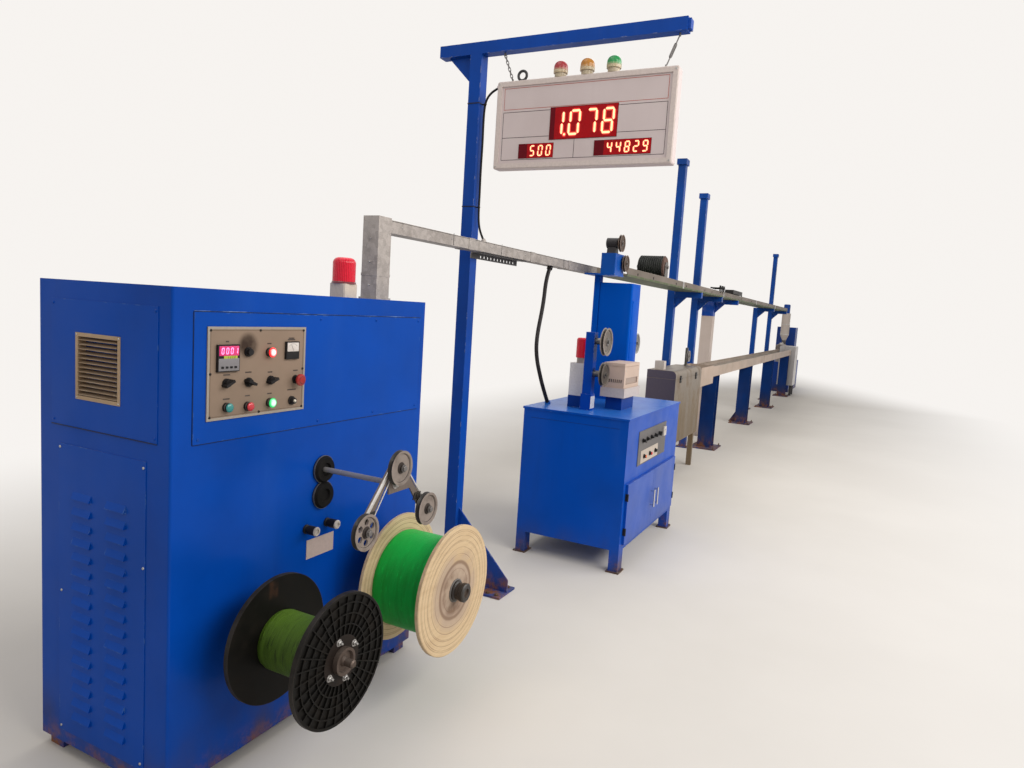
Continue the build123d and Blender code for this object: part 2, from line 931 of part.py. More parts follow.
pulley_y = arm_face - guide_pulley_gap - guide_pulley_width / 2
pin_tip = pulley_y - guide_pulley_width / 2 - 6
pulley_places = {
    "traverse_top_pulley": (traverse_x, top_pulley_z, 0),
    "traverse_left_pulley": (traverse_x - spread, side_pulley_z, guide_pulley_holes),
    "traverse_right_pulley": (traverse_x + spread, side_pulley_z, 0),
}
boss_front = pulley_y + guide_pulley_width / 2 + pulley_side_gap
for x, z, _ in pulley_places.values():
    arm += round_y(x, z, pin_tip, arm_face, guide_pin_radius)
    arm += round_y(x, z, boss_front, arm_face, guide_pin_radius * 1.8)
rod_boss = round_y(traverse_x, traverse_height, arm_back, arm_back + rod_boss_depth, rod_boss_radius)
arm += rod_boss - round_y(
    traverse_x, traverse_height, arm_back - 1, arm_back + rod_boss_depth + 1, traverse_rod_radius
)
write("traverse_arm", arm)
for name, (x, z, holes) in pulley_places.items():
    write(name, pulley(x, pulley_y, z, guide_pulley_radius, guide_pulley_width, guide_pin_radius, holes))

# Push knobs and the plate below them
push_knob_z = traverse_height - push_knob_drop
knob_plate_top = push_knob_z - knob_plate_drop
knobs = []
for x in push_knob_xs:
    knobs.append(
        turned(
            x, cabinet_face, push_knob_z,
            [
                (0, 0), (push_knob_radius, 0), (push_knob_radius, -6), (push_knob_radius * 0.8, -8),
                (push_knob_radius * 0.8, -push_knob_length * 0.3),
                (push_knob_radius, -push_knob_length * 0.34),
                (push_knob_radius, -push_knob_length + 3), (push_knob_radius - 3, -push_knob_length),
                (push_knob_cap, -push_knob_length), (push_knob_cap, -push_knob_length + 5),
                (0, -push_knob_length + 5),
            ],
        )
    )
plate_x0 = traverse_x - knob_plate_width / 2
knobs.append(
    block(
        plate_x0, plate_x0 + knob_plate_width, cabinet_face - panel_thickness, cabinet_face,
        knob_plate_top - knob_plate_height, knob_plate_top,
    )
)
write("takeup_push_knobs", Part() + knobs)

# Display post with its beam, floor plate and gussets
half_post = post_side / 2
post_front = post_y - half_post
post_back = post_y + half_post
beam_bottom = post_height - beam_side
half_beam = beam_side / 2
half_foot = foot_plate_width / 2
post = block(post_x - half_post, post_x + half_post, post_front, post_back, foot_plate_thickness, beam_bottom)
post += block(
    post_x - half_foot, post_x + half_foot, foot_plate_front, foot_plate_back, 0, foot_plate_thickness
)
post += block(post_x - half_beam, post_x + half_beam, beam_front, beam_back, beam_bottom, post_height)
stub_inset = beam_side * 0.12
post += block(
    post_x - half_beam + stub_inset, post_x + half_beam - stub_inset, beam_front - beam_stub, beam_front,
    beam_bottom + stub_inset, post_height - stub_inset,
)
post += plate_yz(
    post_x, gusset_thickness,
    [
        (post_front, foot_plate_thickness), (post_front, foot_gusset_rise),
        (foot_plate_front, foot_plate_thickness + foot_gusset_toe), (foot_plate_front, foot_plate_thickness),
    ],
)
post += plate_yz(
    post_x, gusset_thickness,
    [
        (post_back, beam_bottom), (post_back, beam_bottom - head_gusset_size),
        (post_back + head_gusset_size, beam_bottom),
    ],
)
write("display_post", post)

# Levels of the board and the trunking, and the routes of the two cords between their collars
board_top = beam_bottom - board_drop
trunk_top = riser_top - trunk_drop
trunk_bottom = trunk_top - trunk_height
cable_drop = board_top - display_cable_exit - trunk_top
cable_points = [(post_x, y, trunk_top + share * cable_drop) for y, share in display_cable_route]
hose_drop = trunk_bottom - desk_height
hose_points = [
    (desk_hose_x + step, desk_hose_y + desk_hose_drift * (1 - share), desk_height + share * hose_drop)
    for step, share in desk_hose_route
]

# Display board, with a bevelled frame and windows in its recess
board_x0 = post_x - board_depth / 2
board_x1 = post_x + board_depth / 2
board_front_edge = board_back_edge - board_width
board_bottom = board_top - board_height
board = block(board_x0, board_x1, board_front_edge, board_back_edge, board_bottom, board_top)
board = fillet(board.edges().filter_by(Axis.X), board_corner)
board = chamfer(board.faces().sort_by(Axis.X)[0].edges(), board_bevel)
window_plane = board_x0 + board_recess
board -= block(
    board_x0 - 1, window_plane, board_front_edge + board_frame, board_back_edge - board_frame,
    board_bottom + board_frame, board_top - board_frame,
)
board += [
    block(
        window_plane - window_thickness, window_plane, board_back_edge - far, board_back_edge - near,
        board_top - low, board_top - high,
    )
    for near, far, high, low in (large_window, speed_window, output_window)
]
board += gland(cable_points[1], cable_points[0], cable_gland_radius, cable_gland_length)
write("display_board", board)

# Signal lamps on the board's top edge
lamps = []
for place in signal_places:
    y = board_back_edge - place
    base_top = board_top + signal_base_height
    lamps.append(
        round_z(post_x, y, board_top, base_top, signal_base_radius)
        + domed(post_x, y, base_top, base_top + signal_height, signal_radius, signal_radius * 0.9)
    )
write("signal_lamps", Part() + lamps)

# Hangers between the beam and the board: a chain, a turnbuckle, and a black ring beside the chain
def hanger_axis(y, slope):
    """The slanting line of a hanger, as a plane at its foot, and the line's length."""
    foot = Vector(post_x, y - slope, board_top + hanger_eye_height / 2)
    head = Vector(post_x, y + slope, beam_bottom - hanger_eye_height / 2)
    return Plane(origin=foot, x_dir=(1, 0, 0), z_dir=head - foot), (head - foot).length


def hanger_eyes(y, slope):
    """The eyes that a hanger ends in, on the board and under the beam."""
    foot = round_z(post_x, y - slope, board_top, board_top + hanger_eye_height, hanger_eye_radius)
    return foot + round_z(post_x, y + slope, beam_bottom - hanger_eye_height, beam_bottom, hanger_eye_radius)


chain_y = board_back_edge - hanger_inset
chain_axis, chain_length = hanger_axis(chain_y, hanger_slope)
link_count = round(chain_length / (chain_link_length - 2 * chain_wire))
link_pitch = chain_length / link_count
link_outline = SlotOverall(link_pitch + 2 * chain_wire, chain_link_width, rotation=90)
link_outline -= SlotOverall(link_pitch, chain_link_width - 2 * chain_wire, rotation=90)
link = extrude(Plane.XZ * link_outline, chain_wire / 2, both=True)
hangers = hanger_eyes(chain_y, hanger_slope)
for n in range(link_count):
    hangers += chain_axis * Pos(0, 0, link_pitch * (n + 0.5)) * Rot(0, 0, 90 * (n % 2)) * link

turnbuckle_y = board_front_edge + hanger_inset
turnbuckle_axis, turnbuckle_length = hanger_axis(turnbuckle_y, -hanger_slope)
body_outline = SlotOverall(turnbuckle_body_length, turnbuckle_body_width, rotation=90)
body_outline -= SlotOverall(turnbuckle_body_length - 20, turnbuckle_body_width - 12, rotation=90)
turnbuckle_body = extrude(Plane.XZ * body_outline, turnbuckle_radius, both=True)
rods = Cylinder(turnbuckle_radius * 0.8, turnbuckle_length)
hangers += hanger_eyes(turnbuckle_y, -hanger_slope)
hangers += turnbuckle_axis * Pos(0, 0, turnbuckle_length / 2) * (rods + turnbuckle_body)

eye_y = board_back_edge - eye_inset
eye = Pos(post_x, eye_y, board_top + eye_radius + eye_wire) * Rot(0, 90, 0) * Torus(eye_radius, eye_wire)
hangers += eye + round_z(post_x, eye_y, board_top, board_top + eye_wire * 1.5, eye_wire)
write("board_hangers", hangers)

# Trunking from the cabinet to the head of the upper trough, with the angle that ties it to the post
half_riser = riser_side / 2
trunk_y0 = trunk_centre_y - trunk_depth / 2
trunk_y1 = trunk_centre_y + trunk_depth / 2
riser_x0 = riser_x - half_riser
riser_x1 = riser_x + half_riser
trunk = block(riser_x0, riser_x1, trunk_y0, trunk_y1, cabinet_height, riser_top)
trunk += block(
    riser_x0 - flange_rim, riser_x1 + flange_rim, trunk_y0 - flange_rim, trunk_y1 + flange_rim,
    cabinet_height, cabinet_height + flange_thickness,
)
strap_z = cabinet_height + strap_rise
trunk += block(
    riser_x0 - strap_proud, riser_x1 + strap_proud, trunk_y0 - strap_proud, trunk_y1 + strap_proud,
    strap_z, strap_z + strap_width,
)
trunk += block(riser_x1 - 1, upper_start, trunk_y0, trunk_y1, trunk_bottom, trunk_top)
trunk += [
    block(
        x, x + joint_cover_length, trunk_y0 - joint_cover_proud, trunk_y1 + joint_cover_proud,
        trunk_bottom - joint_cover_proud, trunk_top + joint_cover_proud,
    )
    for x in trunk_joint_xs
]
angle_x0 = post_x - half_post
angle_x1 = angle_x0 + bracket_reach
angle = block(
    angle_x0, angle_x1, post_front - bracket_thickness, post_front,
    trunk_bottom - bracket_height, trunk_bottom,
)
angle += block(
    angle_x0, angle_x1, post_front - bracket_flange, post_front,
    trunk_bottom - bracket_thickness, trunk_bottom,
)
hole_z = trunk_bottom - bracket_thickness - (bracket_height - bracket_thickness) / 2
hole_count = int((bracket_reach - post_side - bracket_hole_pitch) / bracket_hole_pitch)
angle -= [
    round_y(
        post_x + half_post + bracket_hole_pitch * (n + 1), hole_z, post_front - bracket_thickness - 1,
        post_front + 1, bracket_hole_radius,
    )
    for n in range(hole_count)
]
trunk += angle

trunk += gland(cable_points[-2], cable_points[-1], cable_gland_radius, cable_gland_length)
trunk += gland(hose_points[1], hose_points[0], hose_gland_radius, hose_gland_length)
write("cable_trunking", trunk)
write("display_cable", cord(cable_points, display_cable_radius))
write("desk_hose", cord(hose_points, desk_hose_radius))

# Capstan desk: body with an overhanging top, a locker, legs with pads and the hose's collar
desk_end = desk_start + desk_length
desk_back = desk_front + desk_depth
door_x0 = desk_start + door_inset
door_x1 = desk_end - door_inset
door_top = desk_height - door_drop
locker_x0 = door_x0 + locker_rebate
locker_x1 = door_x1 - locker_rebate
desk = block(desk_start, desk_end, desk_front, desk_back, desk_leg_height, desk_height - desk_top_thickness)
desk -= block(
    locker_x0, locker_x1, desk_front - 1, desk_front + locker_depth,
    door_bottom + locker_rebate, door_top - locker_rebate,
)
desk += block(
    desk_start - desk_top_overhang, desk_end + desk_top_overhang, desk_front - desk_top_overhang,
    desk_back + desk_top_overhang, desk_height - desk_top_thickness, desk_height,
)
for x in (desk_start, desk_end - desk_leg_length):
    for y in (desk_front, desk_back - desk_leg_width):
        desk += block(x, x + desk_leg_length, y, y + desk_leg_width, desk_pad_thickness, desk_leg_height)
        desk += block(
            x - desk_pad_margin, x + desk_leg_length + desk_pad_margin, y - desk_pad_margin,
            y + desk_leg_width + desk_pad_margin, 0, desk_pad_thickness,
        )
desk += gland(hose_points[-2], hose_points[-1], hose_gland_radius, hose_gland_length)
write("capstan_desk", desk)

door_middle = (door_x0 + door_x1) / 2
door_back = desk_front - seat_clearance
door_face = door_back - door_thickness
door_middle_z = (door_bottom + door_top) / 2


def desk_door(hinge_x, free_x):
    """One cupboard door of the desk, with its hinge barrels and pull handle."""
    door = block(min(hinge_x, free_x), max(hinge_x, free_x), door_face, door_back, door_bottom, door_top)
    for z in (door_bottom + hinge_margin, door_top - hinge_margin - hinge_length):
        door += round_z(hinge_x, door_face, z, z + hinge_length, hinge_radius)
    inset = handle_inset if free_x < hinge_x else -handle_inset
    handle_x = free_x + inset
    handle_y = door_face - handle_reach
    half_handle = handle_length / 2
    for z in (door_middle_z - half_handle, door_middle_z + half_handle):
        door += round_y(handle_x, z, handle_y, door_face, handle_radius * 0.8)
    reach = half_handle + handle_radius * 2
    return door + round_z(handle_x, handle_y, door_middle_z - reach, door_middle_z + reach, handle_radius)


write("desk_door_left", desk_door(door_x0, door_middle - door_clearance))
write("desk_door_right", desk_door(door_x1, door_middle + door_clearance))

# Control plates on the desk's aisle face
panel_x0 = desk_start + desk_panel_start
panel_y = desk_front - control_thickness
desk_panel_bottom = desk_height - desk_panel_drop - desk_panel_height
desk_panel = block(
    panel_x0, panel_x0 + desk_panel_width, panel_y, desk_front,
    desk_panel_bottom, desk_panel_bottom + desk_panel_height,
)
plate_z0 = desk_panel_bottom + control_edge
plate_y = panel_y - panel_thickness
plate_x0 = panel_x0 + desk_plate_start
desk_panel += block(
    plate_x0, plate_x0 + desk_plate_width, plate_y, panel_y, plate_z0, plate_z0 + desk_plate_height
)
knob_z = (plate_z0 + desk_plate_height + desk_panel_bottom + desk_panel_height) / 2
knob_pitch = (desk_panel_width - desk_meter_side - 2 * control_edge) / (desk_knob_count + 1)
for n in range(desk_knob_count):
    desk_panel += selector(
        panel_x0 + knob_pitch * (n + 0.9), knob_z, panel_y, desk_knob_radius, button_depth * 1.5, 30 - 15 * n
    )
meter_x1 = panel_x0 + desk_panel_width - control_edge * 2
desk_panel += block(
    meter_x1 - desk_meter_side, meter_x1, panel_y - instrument_depth, panel_y,
    knob_z - desk_meter_side / 2, knob_z + desk_meter_side / 2,
)
button_z = plate_z0 + desk_plate_height / 2
for n in range(3):
    desk_panel += push_button(
        plate_x0 + desk_plate_width * (n + 0.5) / 3, button_z, plate_y, button_radius, button_depth
    )
write("desk_panel", desk_panel)

# Guide column with its shoe and two pulleys
half_column = column_side / 2
column_top = desk_height + column_rise
column_pulley_zs = [desk_height + rise for rise in column_pulley_rises]
column_front = column_y - half_column
shoe = half_column + column_shoe_thickness
column = block(
    column_x - half_column, column_x + half_column, column_front, column_y + half_column,
    desk_height, column_top,
)
column += block(
    column_x - shoe, column_x + shoe, column_y - shoe, column_y + shoe,
    desk_height, desk_height + column_shoe_height,
)
column_pin_tip = column_pulley_y - column_pulley_width / 2 - 8
column_boss_front = column_pulley_y + column_pulley_width / 2 + pulley_side_gap
for z in column_pulley_zs:
    column += round_y(column_x, z, column_pin_tip, column_front, column_pin_radius)
    column += round_y(column_x, z, column_boss_front, column_front, column_boss_radius)
write("guide_column", column)
for name, z, radius in zip(("upper", "lower"), column_pulley_zs, column_pulley_radii):
    wheel = pulley(column_x, column_pulley_y, z, radius, column_pulley_width, column_pin_radius)
    write("column_pulley_" + name, wheel)

# Spark tester: a lidded box with a window, standing in an open tray on a pedestal
tester_end = tester_start + tester_length
tester_back = tester_front + tester_width
tester_bottom = desk_height + tester_rise
tester_top = tester_bottom + tester_height
tray_bottom = tester_bottom - tray_height
tray = block(
    tester_start - tray_lip, tester_end + tray_lip, tester_front - tray_lip, tester_back + tray_lip,
    tray_bottom, tester_bottom,
)
hollow = tray_lip - tray_wall
tray -= block(
    tester_start - hollow, tester_end + hollow, tester_front - hollow, tester_back + hollow,
    tray_bottom + tray_wall, tester_bottom + 1,
)
tester = block(tester_start, tester_end, tester_front, tester_back, tray_bottom + tray_wall, tester_top)
lid_seam = tester_top - tester_lid
tester -= block(
    tester_start - 1, tester_end + 1, tester_front - 1, tester_back + 1, lid_seam - tester_lid_gap, lid_seam
) - block(
    tester_start + tray_wall, tester_end - tray_wall, tester_front + tray_wall, tester_back - tray_wall,
    lid_seam - tester_lid_gap, lid_seam,
)
window_z = tester_bottom + tester_window_height * 0.6
tester -= block(
    tester_start + pedestal_inset, tester_end - pedestal_inset, tester_front - 1,
    tester_front + tester_window_depth, window_z, window_z + tester_window_height,
)
write("spark_tester", tray + tester)

switch_x1 = switch_start + switch_length
switch_back = switch_front + switch_width
switch_bottom = desk_height + switch_rise
pedestals = block(
    tester_start + pedestal_inset, tester_end - pedestal_inset, tester_front + pedestal_inset / 2,
    tester_back - pedestal_inset / 2, desk_height, tray_bottom,
)
pedestals += block(switch_start, switch_x1, switch_front, switch_back, desk_height, switch_bottom)
write("desk_pedestals", pedestals)

# Switch box and its beacon
switch_top = switch_bottom + switch_height
switch_x = (switch_start + switch_x1) / 2
switch_y = (switch_front + switch_back) / 2
switch_box = block(switch_start, switch_x1, switch_front, switch_back, switch_bottom, switch_top)
switch_box = fillet(switch_box.edges().filter_by(Axis.Z), 5)
beacon_z = switch_top + desk_beacon_base_height
switch_box += round_z(switch_x, switch_y, switch_top, beacon_z, desk_beacon_base_radius)
switch_box += domed(
    switch_x, switch_y, beacon_z, beacon_z + desk_beacon_height, desk_beacon_radius, desk_beacon_radius * 0.4
)
write("switch_box", switch_box)

# Tall capstan housing with a seam below its top, the mast behind it and the arm of the sheave
housing_end = housing_start + housing_length
housing_back = housing_front + housing_width
housing = block(housing_start, housing_end, housing_front, housing_back, desk_height, housing_top)
housing = fillet(housing.edges().filter_by(Axis.Z), housing_edge_radius)
housing = fillet(housing.edges().group_by(Axis.Z)[-1], housing_seam)
mast_top = head_bottom - head_base_thickness
housing += block(
    housing_start, housing_start + mast_length, housing_back - 1, housing_back + mast_width,
    desk_height, mast_top,
)
sheave_x = housing_end + sheave_reach
sheave_arm_y1 = housing_front + sheave_arm_offset
sheave_arm_y0 = sheave_arm_y1 - sheave_arm_thickness
half_arm = sheave_arm_height / 2
housing += block(
    housing_end - 1, sheave_x + half_arm, sheave_arm_y0, sheave_arm_y1,
    sheave_height - half_arm, sheave_height + half_arm,
)
sheave_y = sheave_arm_y0 - pulley_side_gap - column_pulley_width / 2
sheave_tip = sheave_y - column_pulley_width / 2 - 6
housing += round_y(sheave_x, sheave_height, sheave_tip, sheave_arm_y0, column_pin_radius)
write("capstan_housing", housing)
write(
    "capstan_sheave",
    pulley(sheave_x, sheave_y, sheave_height, sheave_radius, column_pulley_width, column_pin_radius),
)

# Head bracket on the mast: base, box, neck and bearing cylinder, with the pins of two pulleys
head_end = head_start + head_length
head_back = head_front + head_width
head = block(
    head_start, head_end, head_front, head_front + head_base_width,
    head_bottom - head_base_thickness, head_bottom,
)
head += fillet(
    block(head_start, head_end, head_front, head_back, head_bottom, head_top).edges().filter_by(Axis.Z), 6
)
nut_back = head_front + head_nut_length
half_neck = head_neck / 2
neck = plate_xz(
    head_front + half_neck / 2, nut_back - half_neck / 2,
    [
        (head_upper_x - half_neck * 2, head_top - 1), (head_upper_x + half_neck * 2, head_top - 1),
        (head_upper_x + half_neck, head_upper_z), (head_upper_x - half_neck, head_upper_z),
    ],
)
head += neck
head += round_y(head_upper_x, head_upper_z, head_front, nut_back, head_nut_radius)
head_pulley_y = head_front - head_pulley_gap - head_pulley_width / 2
head_pin_tip = head_pulley_y - head_pulley_width / 2 - 6
head_boss_front = head_pulley_y + head_pulley_width / 2 + pulley_side_gap
head_places = ((head_upper_x, head_upper_z), (head_lower_x, head_lower_z))
for x, z in head_places:
    head += round_y(x, z, head_pin_tip, head_front + 1, head_pin_radius)
    head += round_y(x, z, head_boss_front, head_front + 1, head_pin_radius * 1.7)
write("head_bracket", head)
for name, (x, z) in zip(("upper", "lower"), head_places):
    wheel = pulley(x, head_pulley_y, z, head_pulley_radius, head_pulley_width, head_pin_radius)
    write("head_pulley_" + name, wheel)

# Upper trough
upper_bottom = head_bottom
upper_top = upper_bottom + upper_side
upper_back = upper_front + upper_width
upper = trough(upper_start, upper_end, upper_front, upper_back, upper_bottom, upper_top, trough_wall)
write("upper_trough", upper)

# Grooved drum on its two plates in the trough
drum_z = upper_bottom + drum_rise
drum_y = (upper_front + upper_back) / 2
half_drum = drum_length / 2
plate_inner = half_drum + drum_plate_gap
plate_outer = plate_inner + drum_plate_thickness
half_plate = drum_plate_length / 2
drum_plates = []
for y0 in (drum_y - plate_outer, drum_y + plate_inner):
    plate = block(
        drum_x - half_plate, drum_x + half_plate, y0, y0 + drum_plate_thickness,
        upper_bottom + trough_wall, drum_z,
    )
    plate += round_y(drum_x, drum_z, y0, y0 + drum_plate_thickness, half_plate)
    plate -= round_y(
        drum_x, drum_z, y0 - 1, y0 + drum_plate_thickness + 1, drum_pin_radius + shaft_clearance
    )
    drum_plates.append(plate)
write("drum_bearing_plates", Part() + drum_plates)

fins_y0 = drum_end_depth - half_drum
fin_pitch = (half_drum - fins_y0) / drum_fin_count
groove_floor = drum_radius - drum_groove_depth
shaft_out = plate_outer + drum_pin_radius
profile = [
    (0, -shaft_out), (drum_pin_radius, -shaft_out), (drum_pin_radius, -half_drum),
    (drum_end_radius, -half_drum), (drum_end_radius, fins_y0),
]
for n in range(drum_fin_count):
    start = fins_y0 + fin_pitch * n
    profile += [
        (drum_radius, start), (drum_radius, start + fin_pitch * 0.4),
        (groove_floor, start + fin_pitch * 0.55), (groove_floor, start + fin_pitch * 0.9),
    ]
profile += [(drum_pin_radius, half_drum), (drum_pin_radius, shaft_out), (0, shaft_out)]
write("grooved_drum", turned(drum_x, drum_y, drum_z, profile))

# Wiper box in the upper trough
wiper_end = wiper_start + wiper_length
wiper_y0 = wiper_front
wiper_y1 = wiper_y0 + wiper_width
wiper_z0 = upper_bottom + trough_wall
wiper_z1 = wiper_z0 + wiper_base_height
wiper_z2 = wiper_z1 + wiper_gap
wiper = block(wiper_start, wiper_end, wiper_y0, wiper_y1, wiper_z0, wiper_z1)
wiper += block(wiper_start, wiper_end, wiper_y0, wiper_y1, wiper_z2, wiper_z2 + wiper_lid_height)
wiper += [
    block(x, x + wiper_post_side, y, y + wiper_post_side, wiper_z1 - 1, wiper_z2 + 1)
    for x in (wiper_start, wiper_end - wiper_post_side)
    for y in (wiper_y0, wiper_y1 - wiper_post_side)
]
write("wiper_box", wiper)

# Uprights with arms that carry the upper trough
half_upright = upright_side / 2
half_arm_width = arm_width / 2
upright_front = upright_y - half_upright
arm_bottom = upper_bottom - arm_height


def trough_arm(x, start):
    """An arm under the upper trough, from a support's aisle face, with a gusset below it."""
    arm_part = block(x - half_arm_width, x + half_arm_width, upper_front, start, arm_bottom, upper_bottom)
    return arm_part + plate_yz(
        x, half_arm_width,
        [(start, arm_bottom), (start, arm_bottom - arm_gusset), (start - arm_gusset, arm_bottom)],
    )


def upright(x, top):
    """A post with a floor plate and an arm under the trough."""
    half_base = upright_base_side / 2
    stand = block(
        x - half_upright, x + half_upright, upright_front, upright_y + half_upright,
        upright_base_thickness, top,
    )
    stand += block(
        x - half_base, x + half_base, upright_y - half_base, upright_y + half_base, 0, upright_base_thickness
    )
    return stand + trough_arm(x, upright_front)


uprights = [upright(short_upright_x, upper_bottom)]
for x, top in zip(upright_xs, upright_tops):
    uprights.append(
        upright(x, top)
        + block(
            x - cap_length / 2, x + cap_length / 2, upright_front - upright_base_thickness,
            upright_y + half_upright + upright_base_thickness, top - cap_height, top,
        )
    )
write("upper_uprights", Part() + uprights)

# Box column beside the wiper box
half_box = box_column_side / 2
box_front = box_column_y - half_box
box_column = block(
    box_column_x - half_box, box_column_x + half_box, box_front, box_column_y + half_box, 0, upper_bottom
)
box_column -= block(
    box_column_x - half_box - 1, box_column_x + half_box + 1, box_front - 1, box_column_y + half_box + 1,
    box_column_top, box_column_top + box_seam,
) - block(
    box_column_x - half_box + box_seam, box_column_x + half_box - box_seam, box_front + box_seam,
    box_column_y + half_box - box_seam, box_column_top, box_column_top + box_seam,
)
box_column += trough_arm(box_column_x + half_box - half_arm_width, box_front)
box_column += plate_xz(
    box_front, box_front + arm_width,
    [
        (box_column_x + half_box, upper_bottom - arm_gusset), (box_column_x + half_box, upper_bottom),
        (box_column_x + half_box + box_arm_length, upper_bottom),
        (box_column_x + half_box + box_arm_length, arm_bottom + arm_height / 2),
    ],
)
write("box_column", box_column)

# Cooling tank on legs, with a rounded aisle edge, a lid seam, the sheave's stand and a small box on the lid
tank_end = tank_start + tank_length
tank_back = tank_front + tank_depth
tank = block(tank_start, tank_end, tank_front, tank_back, tank_bottom, tank_top)
tank = fillet(tank.edges().filter_by(Axis.X).group_by(Axis.Z)[-1].sort_by(Axis.Y)[0], tank_edge_radius)
seam_z = tank_top - tank_lid_height
tank -= block(
    tank_start - 1, tank_end + 1, tank_front - 1, tank_back + 1, seam_z - tank_lid_gap, seam_z
) - block(
    tank_start + tank_lid_gap, tank_end - tank_lid_gap, tank_front + tank_lid_gap, tank_back - tank_lid_gap,
    seam_z - tank_lid_gap, seam_z,
)
leg_inset = tank_leg_inset + tank_leg_side
tank += [
    block(x, x + tank_leg_side, y, y + tank_leg_side, 0, tank_bottom)
    for x in (tank_start + tank_leg_inset, tank_end - leg_inset)
    for y in (tank_front + tank_leg_inset, tank_back - leg_inset)
]
half_stand = tank_stand_side / 2
stand_y0 = (tank_front + tank_back) / 2
stand_y1 = stand_y0 + tank_stand_side
stand_z = tank_top + tank_stand_rise
tank += block(tank_stand_x - half_stand, tank_stand_x + half_stand, stand_y0, stand_y1, tank_top, stand_z)
tank += block(
    tank_stand_x - tank_stand_side, tank_stand_x + tank_stand_side, stand_y0, stand_y1,
    tank_top, tank_top + half_stand,
)
tank_sheave_z = tank_top + tank_sheave_rise
tank_sheave_y = stand_y0 - pulley_side_gap - tank_sheave_width / 2
tank += round_y(
    tank_stand_x, tank_sheave_z, tank_sheave_y - tank_sheave_width / 2 - 6, stand_y0, guide_pin_radius
)
tank += block(
    lid_box_start, lid_box_start + lid_box_length, lid_box_front, lid_box_front + lid_box_width,
    tank_top, tank_top + lid_box_height,
)
write("cooling_tank", tank)
write(
    "tank_sheave",
    pulley(
        tank_stand_x, tank_sheave_y, tank_sheave_z, tank_sheave_radius, tank_sheave_width, guide_pin_radius
    ),
)

# End box between the tank and the lower trough
end_box = block(tank_end, lower_start, tank_front, tank_back, end_box_bottom, end_box_top)
end_box -= block(
    tank_end + trough_wall, lower_start - trough_wall, tank_front + trough_wall, tank_back - trough_wall,
    end_box_bottom + trough_wall, end_box_top + 1,
)
write("trough_end_box", end_box)

# Lower trough with turned lips and the cover plate of its joint
lower_back = lower_front + lower_width
lower = trough(lower_start, lower_end, lower_front, lower_back, lower_bottom, lower_top, trough_wall)
lower += block(
    lower_start, lower_end, lower_front, lower_front + lower_lip, lower_top - trough_wall, lower_top
)
lower += block(
    lower_start, lower_end, lower_back - lower_lip, lower_back, lower_top - trough_wall, lower_top
)
cover_x0 = joint_x - joint_plate_length / 2
cover_x1 = joint_x + joint_plate_length / 2
lower += block(cover_x0, cover_x1, lower_front - joint_plate_thickness, lower_front, lower_bottom, lower_top)
lower += block(cover_x0, cover_x1, lower_back, lower_back + joint_plate_thickness, lower_bottom, lower_top)
lower += block(
    cover_x0, cover_x1, lower_front - joint_plate_thickness, lower_back + joint_plate_thickness,
    lower_bottom - joint_plate_thickness, lower_bottom,
)
write("lower_trough", lower)

# Posts under the lower trough, of I section on floor plates; the second has a brace behind its foot
half_length = trough_post_length / 2
half_width = trough_post_width / 2
half_web = trough_post_web / 2
posts = []
for n in range(trough_post_count):
    x = trough_post_start + n * trough_post_pitch
    y0 = trough_post_y - half_width
    y1 = trough_post_y + half_width
    leg = block(x - half_length, x - half_length + trough_post_flange, y0, y1, 0, lower_bottom)
    leg += block(x + half_length - trough_post_flange, x + half_length, y0, y1, 0, lower_bottom)
    leg += block(
        x - half_length, x + half_length, trough_post_y - half_web, trough_post_y + half_web, 0, lower_bottom
    )
    leg += block(
        x - trough_plate_length / 2, x + trough_plate_length / 2, trough_post_y - trough_plate_width / 2,
        trough_post_y + trough_plate_width / 2, 0, trough_plate_thickness,
    )
    if n == 1:
        leg += plate_yz(
            x, trough_post_web,
            [
                (y1 - 1, trough_plate_thickness), (y1 - 1, post_brace_height),
                (y1 + post_brace_reach, 0), (y1, 0),
            ],
        )
    posts.append(leg)
write("trough_posts", Part() + posts)

# Stainless cabinet between the lower trough and the extruder
die_tank_start = lower_end + die_tank_gap
die_tank_end = die_tank_start + die_tank_length
die_tank_back = die_tank_front + die_tank_depth
die_tank = block(die_tank_start, die_tank_end, die_tank_front, die_tank_back, die_tank_bottom, die_tank_top)
die_tank = fillet(die_tank.edges().filter_by(Axis.X).group_by(Axis.Z)[-1], tank_leg_inset)
die_tank += [
    block(x, x + tank_leg_side, y, y + tank_leg_side, 0, die_tank_bottom)
    for x in (die_tank_start + die_leg_inset, die_tank_end - die_leg_inset - tank_leg_side)
    for y in (die_tank_front + tank_leg_inset, die_tank_back - leg_inset)
]
write("die_end_tank", die_tank)

# Extruder: base, gearbox with its motor, barrel with heaters and crosshead
base_y0 = extruder_y - extruder_base_width / 2
base_y1 = extruder_y + extruder_base_width / 2
base_end = extruder_base_start + extruder_base_length
base = block(extruder_base_start, base_end, base_y0, base_y1, 0, extruder_base_height)
write("extruder_base", base)

gearbox_end = base_end - motor_length
gearbox_start = gearbox_end - gearbox_length
half_gearbox = gearbox_width / 2
drive = block(
    gearbox_start, gearbox_end, extruder_y - half_gearbox, extruder_y + half_gearbox,
    extruder_base_height, gearbox_top,
)
drive += round_x(extruder_y, extruder_height, gearbox_end - 1, base_end, motor_radius - motor_fin_depth)
fin_step = motor_length / (motor_fin_count + 1)
drive += [
    round_x(
        extruder_y, extruder_height, gearbox_end + fin_step * (n + 0.5), gearbox_end + fin_step * (n + 1),
        motor_radius,
    )
    for n in range(motor_fin_count)
]
drive += block(
    gearbox_end - 1, base_end, extruder_y - motor_radius / 2, extruder_y + motor_radius / 2,
    extruder_base_height, extruder_height - motor_radius / 2,
)
write("extruder_drive", drive)

